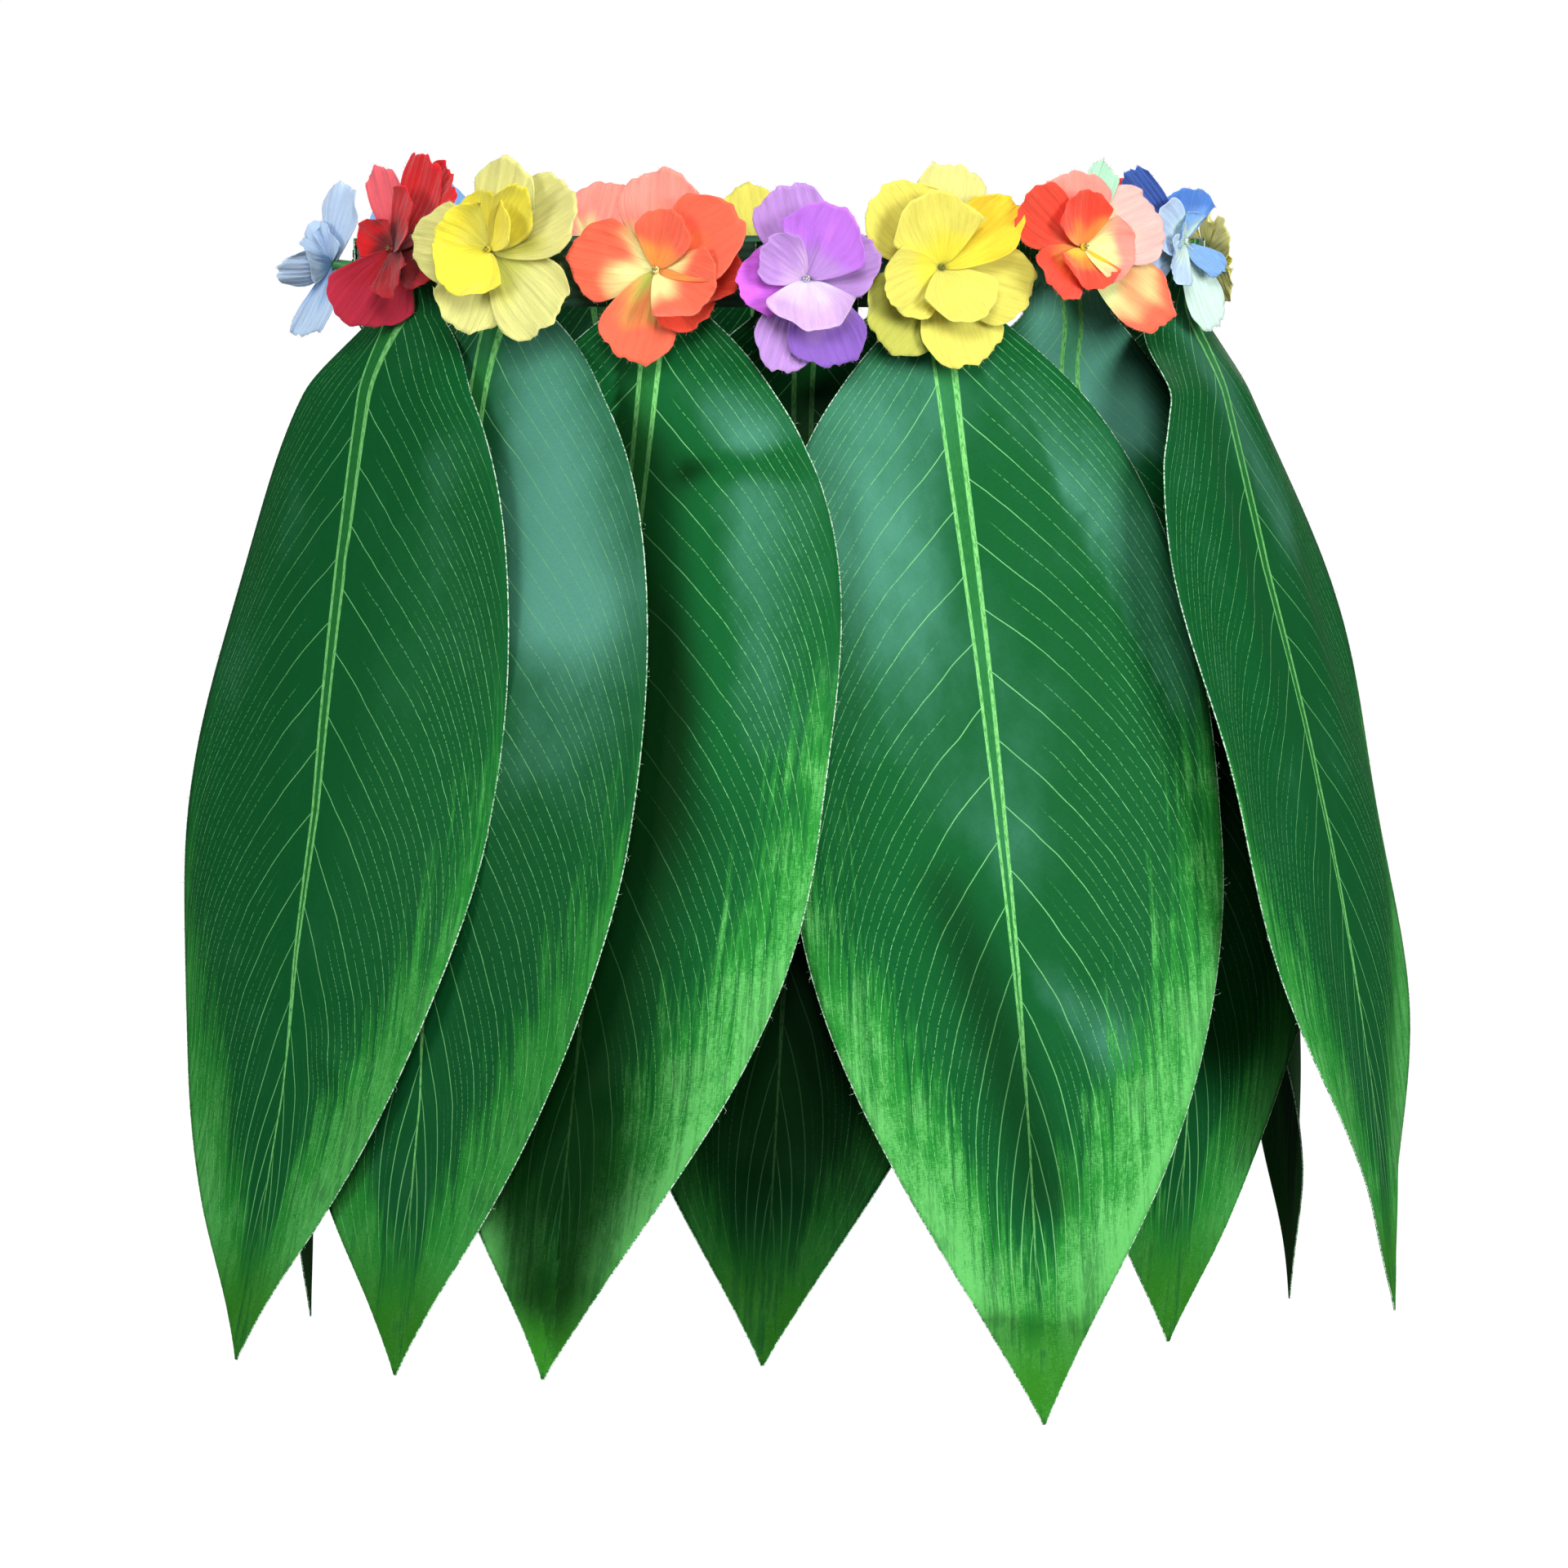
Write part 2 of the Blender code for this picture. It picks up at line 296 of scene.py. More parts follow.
def out_of(angle, wide, deep):
    """The level outward direction of an ellipse."""
    return Vector((math.sin(angle) / wide, -math.cos(angle) / deep, 0.0)).normalized()


def on_ring(angle, wide, deep, out):
    """A level point on an ellipse, then moved outwards."""
    return Vector((wide * math.sin(angle), -deep * math.cos(angle), 0.0)) + out * out_of(angle, wide, deep)


def walk(angle, across, wide, deep):
    """The angle that lies a distance along an ellipse from another angle."""
    half_way = angle + across / math.hypot(wide * math.cos(angle), deep * math.sin(angle)) / 2
    return angle + across / math.hypot(wide * math.cos(half_way), deep * math.sin(half_way))


print("waist", WAIST_WIDTH, "by", WAIST_DEPTH, "m, hem", [round(2 * half, 3) for half in half_axes(0.5)])

# %% The leaves
LEAF_HALF, TOP_HALF, TIP_HALF = 0.096, 0.022, 0.0006
WIDEST_AT, SHOULDER_FROM = 0.51, 0.066
SHOULDER_POWER, POINT_POWER = 3.7, 1.10
LAP_FROM, LAP_TO = 0.029, 0.070
EDGE_WAVE, EDGE_WAVES, WAVE_FADES = 0.0026, 2.6, (0.86, 0.99)
SOLID_COLUMNS = 6  # cells across the solids' leaves


class Leaf(NamedTuple):
    name: str
    root: float  # angle where it is sewn on, in degrees
    hem: float  # angle at its tip
    sway: float  # degrees by which its middle strays
    length: float
    turn: float  # degrees by which its right side stands out
    bend: float  # radius of its roundness across
    lift: float  # how far its layer stands off the form
    drift: float  # more of the same, gained towards the tip
    tone: float  # how light its dye came out, and painted shade, darker for the leaves that hang in shade
    rib: tuple  # how far off the middle the printed rib runs, in millimetres, at each of RIB_SHARES


LEAF_TABLE = (
    (-61, -57.5, 8.5, 0.495, 2.5, 0.24, 0.01, 0, 0.9, (-12, -2, 8, 10)),
    (-39, -36.5, 2.5, 0.491, 7, 0.32, 0.005, 0, 0.8, (-8, -2, 4, 8)),
    (-16, -21.5, 1.5, 0.488, 6, 0.36, 0.002, 0, 1.1, (-1, 0, 2, 2)),
    (3.6, -1.7, 0.3, 0.486, 3, 0.36, -0.018, -0.012, 0.55, (0, 0, 0, 0)),
    (22.5, 24, -1, 0.508, 4, 0.36, 0.004, 0, 1.08, (-7, -6, -5, -2)),
    (40, 43.2, 2, 0.486, 4, 0.3, -0.018, -0.014, 0.85, (2, 10, 10, 6)),
    (67, 68.5, -4.5, 0.479, -12, 0.45, 0.01, 0.01, 0.95, (12, -8, -15, -12)),
    (102, 99, 0, 0.495, 8, 0.14, -0.026, -0.01, 0.8, (2, 3, 2, 1)),
    (133, 136, 0, 0.505, 4, 0.2, 0.004, 0, 0.95, (-3, -4, -2, 0)),
    (159, 150, 0, 0.488, 5, 0.22, -0.02, -0.014, 0.8, (4, 2, 0, -2)),
    (183, 177, 0, 0.496, 2, 0.3, 0.004, 0, 1, (0, 3, 5, 3)),
    (207, 202, 0, 0.486, 6, 0.26, -0.018, -0.014, 0.8, (-4, -2, 1, 2)),
    (233, 221, 0, 0.5, 2, 0.22, 0.004, 0, 0.95, (3, 4, 2, 0)),
    (266, 267, 0, 0.5, 0, 0.14, -0.028, -0.03, 0.8, (-2, 0, 2, 3)),
)
LEAVES = [Leaf(f"leaf_{number:02}", *row) for number, row in enumerate(LEAF_TABLE, 1)]


def leaf_half_width(share):
    """Half the cut leaf's width at a share of its length."""
    if share < WIDEST_AT:
        rise = max(share - SHOULDER_FROM, 0.0) / (WIDEST_AT - SHOULDER_FROM)
        return TOP_HALF + (LEAF_HALF - TOP_HALF) * (1.0 - (1.0 - rise) ** SHOULDER_POWER)
    fall = (share - WIDEST_AT) / (1.0 - WIDEST_AT)
    return TIP_HALF + (LEAF_HALF - TIP_HALF) * max(math.cos(fall * math.pi / 2), 0.0) ** POINT_POWER


@functools.cache
def wave_lines(root, share):
    """How far the form's long waves stand out on the solid's own lines, from edge to edge."""
    phase = math.tau * EDGE_WAVES * share
    sides = [line * 2 / SOLID_COLUMNS - 1.0 for line in range(SOLID_COLUMNS + 1)]
    lines = [EDGE_WAVE * side * side * math.sin(phase + root * (1.0 + side)) for side in sides]
    return [2.0 * lines[0] - lines[1], *lines, 2.0 * lines[-1] - lines[-2]]


def long_wave(leaf, side, share):
    """The form's wave at any side: exact on the solid's lines and a smooth cubic between them."""
    place = (side + 1.0) / 2 * SOLID_COLUMNS
    line = min(max(int(place), 0), SOLID_COLUMNS - 1)
    before, left, right, after = wave_lines(leaf.root, share)[line : line + 4]
    t = place - line
    slopes = (right - before) / 2, (after - left) / 2
    curve = left * (2 * t**3 - 3 * t**2 + 1) + right * (3 * t**2 - 2 * t**3)
    return curve + slopes[0] * (t**3 - 2 * t**2 + t) + slopes[1] * (t**3 - t**2)


def leaf_point(leaf, side, share, out=0.0):
    """A point on the leaf: side goes -1 to 1 across it, share 0 to 1 down it, and out moves it outwards."""
    down = share * leaf.length
    wide, deep = half_axes(down)
    stray = 4.0 * leaf.sway * share * (1.0 - share)
    middle = math.radians(leaf.root + (leaf.hem - leaf.root) * share + stray)
    across = side * leaf_half_width(share)
    on_band = on_ring(walk(middle, across, wide, deep), wide, deep, SEAM + out)
    facing = Matrix.Rotation(-math.radians(leaf.turn), 3, "Z") @ out_of(middle, wide, deep)
    along = UPWARDS.cross(facing)
    wave = long_wave(leaf, side, share) * (1.0 - smooth(*WAVE_FADES, share))
    in_layer = (
        on_ring(middle, wide, deep, SEAM + leaf.lift + leaf.drift * share)
        + along * leaf.bend * math.sin(across / leaf.bend)
        + facing * (out + wave - leaf.bend * (1.0 - math.cos(across / leaf.bend)))
    )
    point = on_band.lerp(in_layer, smooth(LAP_FROM, LAP_TO, down))
    point.z = BAND_HEIGHT / 2 - down * HANG
    return point


STEPS = 200
cut_area = sum(2 * leaf_half_width((n + 0.5) / STEPS) for n in range(STEPS)) / STEPS
print("leaves:", len(LEAVES), "each cut from", round(cut_area, 4), "m2 per metre of length")

# %% [markdown]
# ## Creases
#
# Cloth leaves are packed flat and folded, so each one keeps a few soft creases. A crease is a mark: a line on
# the cut leaf that fades out on either side. The cloth rises over it as a ridge, or sinks as a trough where
# its level is below zero. Long, wide ones make the leaf roll, and short, narrow ones catch the light.


# %% Crease table
class Mark(NamedTuple):
    side_1: float  # where it starts: across the leaf, from -1 to 1
    share_1: float  # and down it, from 0 to 1
    side_2: float  # where it ends
    share_2: float
    level: float  # a crease's height in millimetres, or a patch's painted sheen above zero and painted shade below zero
    left: float  # how far it spreads to the left of its way down, in millimetres
    right: float = 0.0  # and to its right, where that is another distance


CREASES = {
    "leaf_01": (
        (0.55, 0.2, 0.3, 0.62, 2.2, 26), (-0.45, 0.25, -0.6, 0.7, -1.2, 22),
        (0.45, 0.715, 0.8, 0.745, 1.4, 7), (0.05, 0.28, 0.42, 0.24, 0.9, 6),
    ),
    "leaf_02": (
        (0.5, 0.16, 0.55, 0.6, 1.8, 28), (0.12, 0.15, 0.23, 0.175, 1.1, 6), (0.3, 0.42, 0.75, 0.38, 0.9, 8),
    ),
    "leaf_03": (
        (0.55, 0.3, 0.6, 0.66, 2.0, 26), (0.3, 0.215, 0.98, 0.185, 1.6, 8), (0.35, 0.21, 0.47, 0.25, 1.2, 6),
        (0.45, 0.235, 0.3, 0.29, -0.8, 6), (0.2, 0.74, 0.7, 0.7, 1.0, 8),
    ),
    "leaf_04": ((0.0, 0.6, 0.1, 0.95, 1.6, 14), (-0.5, 0.8, 0.4, 0.84, 1.0, 8)),
    "leaf_05": (
        (-0.5, 0.14, -0.55, 0.55, 2.2, 26), (0.47, 0.21, 0.57, 0.285, 1.5, 7),
        (0.57, 0.285, 0.66, 0.38, 1.5, 8), (0.33, 0.14, 0.36, 0.185, 1.1, 6),
        (0.0, 0.61, 0.1, 0.622, 0.9, 5), (0.3, 0.65, 0.53, 0.69, 1.4, 8), (0.15, 0.655, 0.45, 0.62, -0.8, 7),
        (-0.62, 0.675, -0.4, 0.695, 1.0, 6), (0.12, 0.815, 0.53, 0.845, 1.2, 7),
        (-0.95, 0.893, -0.2, 0.907, 1.5, 6),
    ),
    "leaf_06": ((0.75, 0.1, 0.35, 0.3, 1.8, 14), (-0.3, 0.12, -0.1, 0.34, 1.2, 9)),
    "leaf_07": (
        (-0.7, 0.1, -0.5, 0.42, 2.4, 12), (-0.95, 0.2, -0.72, 0.36, -1.4, 9), (0.3, 0.3, 0.45, 0.7, 1.6, 22),
    ),
    "leaf_08": ((0.45, 0.2, 0.35, 0.6, 1.8, 22), (-0.3, 0.42, 0.35, 0.45, 1.0, 8)),
    "leaf_09": (
        (-0.4, 0.2, -0.45, 0.66, 2.2, 24), (0.2, 0.34, 0.72, 0.4, 1.3, 8), (-0.5, 0.78, 0.3, 0.81, 1.2, 8),
    ),
    "leaf_10": ((0.3, 0.2, 0.35, 0.6, 1.8, 22), (-0.6, 0.5, -0.1, 0.54, 1.1, 8)),
    "leaf_11": (
        (0.5, 0.18, 0.42, 0.64, 2.2, 26), (-0.62, 0.3, -0.2, 0.27, 1.4, 8), (-0.15, 0.66, 0.4, 0.7, 1.3, 8),
    ),
    "leaf_12": ((-0.35, 0.22, -0.3, 0.62, 1.8, 22), (0.25, 0.7, 0.6, 0.66, 1.0, 8)),
    "leaf_13": (
        (0.48, 0.18, 0.4, 0.6, 2.2, 24), (-0.55, 0.44, -0.05, 0.48, 1.3, 8),
        (0.05, 0.76, 0.45, 0.73, 1.2, 8),
    ),
    "leaf_14": ((-0.4, 0.2, -0.38, 0.6, 1.8, 20), (0.3, 0.52, 0.66, 0.48, 1.0, 8)),
}

# %% [markdown]
# ## Painted sheen and painted shade on the leaves
#
# Satin shines and shades with the light, and here both are painted into the leaf's colour: a painted
# highlight where the satin's sheen would fall, and painted shade where a neighbour laps over the leaf or it
# hangs deep inside. Each patch is a mark too. Its level is above zero for painted sheen and below zero for
# painted shade, and one with a quick side ends along a crease.

# %% Patch table: painted sheen and painted shade
PAINTED_LIGHT_PATCHES = {
    "leaf_01": ((0.6, 0.2, 0.72, 0.34, 0.22, 14), (-0.62, 0.22, -0.7, 0.4, 0.15, 16)),
    "leaf_02": (
        (0.35, 0.11, 0.58, 0.3, 1.15, 34, 30), (0.62, 0.34, 0.58, 0.44, 0.44, 30, 26),
        (-0.1, 0.12, 0.05, 0.6, -0.55, 24, 10),
    ),
    "leaf_03": (
        (0.22, 0.13, 0.7, 0.17, 0.75, 18), (0.58, 0.24, 0.6, 0.42, 0.72, 26, 30),
        (0.3, 0.2, 0.9, 0.19, -0.55, 6, 7), (-0.18, 0.17, 0.05, 0.42, -0.88, 50, 13),
        (-0.04, 0.42, 0.02, 0.8, -0.95, 50, 22), (-0.55, 0.7, -0.33, 0.92, -0.86, 30, 20),
    ),
    "leaf_04": ((0.0, 0.15, 0.0, 0.8, -0.84, 70), (0.0, 0.02, 0.0, 0.1, 0.35, 40)),
    "leaf_05": (
        (-0.75, 0.15, -0.62, 0.26, 0.5, 34), (-0.25, 0.13, -0.4, 0.22, 0.3, 24),
        (-0.4, 0.32, -0.1, 0.5, 0.3, 34), (0.3, 0.13, 0.51, 0.21, 0.2, 30, 6),
        (0.51, 0.21, 0.71, 0.35, 0.36, 36, 3), (-0.32, 0.54, 0.05, 0.8, -0.6, 18, 16),
        (-0.9, 0.903, 0.7, 0.915, -0.34, 2, 15), (0.1, 0.63, 0.5, 0.69, 0.46, 13, 8),
    ),
    "leaf_06": (
        (0.0, 0.08, 0.35, 0.15, 1.9, 26, 22), (0.5, 0.26, 0.55, 0.72, -0.5, 24),
        (-0.3, 0.4, 0.2, 0.72, -0.55, 30),
    ),
    "leaf_07": ((0.1, 0.1, 0.34, 0.26, 0.45, 22, 20),),
    "leaf_08": ((0.35, 0.16, 0.3, 0.34, 0.5, 18, 20), (-0.6, 0.2, -0.6, 0.6, -0.5, 24, 30)),
    "leaf_09": ((-0.4, 0.16, -0.35, 0.3, 0.7, 24, 20), (0.45, 0.36, 0.3, 0.46, 0.45, 18)),
    "leaf_10": ((0.1, 0.1, 0.3, 0.24, 0.5, 20), (-0.6, 0.2, -0.6, 0.65, -0.6, 26)),
    "leaf_11": ((0.4, 0.15, 0.55, 0.3, 0.8, 24, 20), (-0.5, 0.28, -0.4, 0.42, 0.5, 22)),
    "leaf_12": ((0.0, 0.1, -0.2, 0.24, 0.45, 18), (0.6, 0.22, 0.6, 0.62, -0.6, 26)),
    "leaf_13": ((-0.35, 0.14, -0.55, 0.28, 0.75, 22, 24), (0.4, 0.34, 0.35, 0.44, 0.45, 22, 18)),
    "leaf_14": ((0.2, 0.14, 0.35, 0.3, 0.4, 18), (-0.55, 0.2, -0.5, 0.6, -0.5, 24)),
}


# %% Creases and patches on the cut leaf
def flat_place(leaf, side, share):
    """Where a point lies on the cut leaf, in metres."""
    return Vector((side * leaf_half_width(share), share * leaf.length))


def flat_marks(table):
    """For each leaf, its marks, each with the start and the run of its line."""
    marks = {}
    for leaf in LEAVES:
        marks[leaf] = []
        for mark in (Mark(*row) for row in table[leaf.name]):
            start = flat_place(leaf, mark.side_1, mark.share_1)
            marks[leaf].append((mark, start, flat_place(leaf, mark.side_2, mark.share_2) - start))
    return marks


def marked(marks, leaf, place):
    """The sum of the marks' levels at a flat place."""
    level = 0.0
    for mark, start, run in marks[leaf]:
        reach = min(max((place - start).dot(run) / run.length_squared, 0.0), 1.0)
        off = place - start - run * reach
        spread = mark.left if run.cross(off) < 0.0 or not mark.right else mark.right
        level += mark.level * math.exp(-((off.length / spread / MM) ** 2))
    return level


creases, painted_light_patches = flat_marks(CREASES), flat_marks(PAINTED_LIGHT_PATCHES)
print("creases:", sum(map(len, creases.values())), "patches:", sum(map(len, painted_light_patches.values())))

# %% [markdown]
# ## Leaf cloth
#
# A leaf starts as a plain grid. Each point is moved to its place on the form, then pushed out by the creases
# and by a faint, slow unevenness that all hung cloth has. A Solidify modifier gives the cloth its 0.5 mm,
# inside the 1.2 mm that the solid keeps for it. The print has to follow the cut leaf, so each point remembers
# where it lies on it: metres from the rib, share of the length, and metres from the rib to that side's edge.
# It also remembers the side vein that runs through it, named by the share at which that vein leaves the rib.
# The veins bend down ever more as they near the edge, which a logarithm gives, and no formula undoes the sum
# of both, so the start is found by halving.

# %% Leaf cloth
LEAF_LENGTH = 0.49
CLOTH = 0.5 * MM
CLOTH_OUT = 0.3 * MM  # from the solid's inner face to the cloth's
LEAF_COLUMNS, LEAF_ROWS = 44, 150
RIB_SHARES = (0.10, 0.30, 0.50, 0.75, 1.00)
DRAPE, DRAPE_SIZE = 0.6 * MM, 0.055


def cloth_out(leaf, side, share):
    """How far the cloth stands out from the solid's inner face."""
    place = flat_place(leaf, side, share)
    drape = noise.noise(Vector((place.x / DRAPE_SIZE, place.y / DRAPE_SIZE / 2, leaf.root)))
    loose = smooth(LAP_FROM / leaf.length, LAP_TO / leaf.length * 2, share)
    return CLOTH_OUT + loose * (marked(creases, leaf, place) * MM + DRAPE * drape)


VEIN_SHARES = (-0.50, 0.30, 0.48, 0.57, 0.65, 0.80, 1.00)
VEIN_FALLS = (0.120, 0.135, 0.190, 0.280, 0.400, 0.520, 0.580)
VEIN_CURVE, VEIN_REACH = 0.90, 0.7
VEIN_STEP, HALVINGS = 0.02, 16


@functools.cache
def vein_root(column, share):
    """The share of the length at which the side vein through a point leaves the rib."""
    spread = -math.log(1.0 - VEIN_CURVE * column) / VEIN_CURVE
    low, high = share - VEIN_REACH, share
    for _ in range(HALVINGS):
        middle = (low + high) / 2
        if middle + table_value(VEIN_SHARES, VEIN_FALLS, middle) * spread > share:
            high = middle
        else:
            low = middle
    return (low + high) / 2


@functools.cache
def vein_start(column, share):
    """Where the vein starts, and how closely the veins lie there: change of start per metre."""
    start = vein_root(column, share)
    inner = max(column - VEIN_STEP, 0.0)
    inwards = max((column - inner) * leaf_half_width(share), 0.1 * MM)
    across = (start - vein_root(inner, share)) / inwards
    along = (vein_root(column, share + VEIN_STEP) - start) / (VEIN_STEP * LEAF_LENGTH)
    return start, math.hypot(across, along)


def dressed(name, mesh, slot, *materials):
    """Keeps a mesh as a piece of the skirt."""
    mesh.materials.clear()
    for material in materials:
        mesh.materials.append(material)
    mesh.shade_smooth()
    made = linked(name, mesh)
    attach(made, "root")
    return made


def finished(name, bm, slot, *materials):
    mesh = bpy.data.meshes.new(name)
    bm.to_mesh(mesh)
    bm.free()
    return dressed(name, mesh, slot, *materials)


def thickened(piece, thick, offset=1.0):
    solidify = piece.modifiers.new("cloth", "SOLIDIFY")
    solidify.thickness, solidify.offset = thick, offset
    return solidify


def table_value(xs, ys, x):
    """A value between the rows of a table."""
    x = min(max(x, xs[0]), xs[-1])
    upper = next(place for place in range(1, len(xs)) if x <= xs[place])
    share = (x - xs[upper - 1]) / (xs[upper] - xs[upper - 1])
    return ys[upper - 1] + (ys[upper] - ys[upper - 1]) * share


def leaf_cloth(leaf, front, back):
    """A leaf's cloth. Its middle column of points follows the printed rib."""
    bm = bmesh.new()
    bmesh.ops.create_grid(bm, x_segments=LEAF_COLUMNS, y_segments=LEAF_ROWS, size=1.0)
    cut = bm.verts.layers.float_vector.new("cut")
    vein = bm.verts.layers.float_vector.new("vein")
    tone = bm.verts.layers.float.new("tone")
    for vert in bm.verts:
        column, share = vert.co.x, (1.0 - vert.co.y) / 2
        half, offset = leaf_half_width(share), table_value(RIB_SHARES, (*leaf.rib, 0.0), share) * MM
        side = column + offset / half * (1.0 - abs(column))
        own_half = half - math.copysign(offset, column)
        start, density = vein_start(abs(column), share)
        vert[cut] = (column * own_half, share, own_half)
        # each point keeps its vein's start and density, and the patches' painted sheen above zero and painted
        # shade below it
        vert[vein] = (start, density, marked(painted_light_patches, leaf, flat_place(leaf, side, share)))
        # each point keeps the leaf's tone: its dye lot and painted shade
        vert[tone] = leaf.tone
        vert.co = leaf_point(leaf, side, share, cloth_out(leaf, side, share))
    piece = finished(f"{leaf.name}_cloth", bm, "leaf_satin", front, back)
    thickened(piece, CLOTH).material_offset = 1
    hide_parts(leaf.name)
    return piece


print("leaf cloth:", CLOTH / MM, "mm thick,", LEAF_COLUMNS, "by", LEAF_ROWS, "cells a leaf")

# %% [markdown]
# ## The leaf print
#
# The satin is printed with a leaf: a deep green ground, two pale ribs that close towards the tip, and side
# veins at three strengths, broken into dots by the coarse screen of the print. The lower margins and the tip
# are bright green, which runs into the ground in streaks. The weave shows as a fine grain. The shine of the
# satin is painted into its colour by the patches, as painted highlights, and they paint shade there too, so
# the cloth's own gloss is low. Each leaf's tone is its dye lot and painted shade for the leaves in shade.

# %% Leaf print
VEIN_GAP = 0.055  # between the starts of the main veins, as a share of the length
# the print's deep ground, then a painted shadow colour and a painted sheen highlight, which the patches mix
# in
GROUND, PAINTED_SHADE, PAINTED_SHEEN = (0.0045, 0.090, 0.021), (0.0008, 0.013, 0.0012), (0.090, 0.310, 0.225)
BRIGHT, LIGHT, TIP = (0.018, 0.220, 0.029), (0.115, 0.470, 0.115), (0.029, 0.195, 0.014)
VEIN, RIB, RIB_CORE = (0.170, 0.490, 0.170), (0.190, 0.560, 0.165), (0.028, 0.220, 0.042)
# blotches a metre, across the leaf and down it
WOBBLES, FLECKS, WARP, WEFT = (30, 30), (1500, 300), (2600, 420), (420, 2600)
MOTTLES, STREAKS, BLOTCHES, RIPPLES = (22, 14), (420, 18), (75, 42), (26, 18)
# how far from its middle a vein's ink is still full, and where it is gone
MAIN_LINE, HALF_LINE, FINE_LINE = (0.00011, 0.00032), (0.00006, 0.00024), (0.00004, 0.00020)
RIB_APART = 4.6 * MM  # from the middle to either line, where the leaf starts
RIBS_MEET = 0.72  # share of the length at which the two lines have closed
# shares of the length over which each part of the print ends or starts
VEINS_END, RIBS_END, CORE_ENDS = (0.84, 0.93), (0.80, 0.90), (0.60, 0.80)
MARGINS_START, TIP_STARTS, TIP_DARKENS = (0.30, 0.48), (0.84, 0.95), (0.86, 0.96)
MARGIN_STOPS = ((0.0, 1.0), (0.36, 1.0), (0.48, 0.88), (0.60, 0.74), (0.70, 0.52), (0.80, 0.28), (0.90, 0.06))


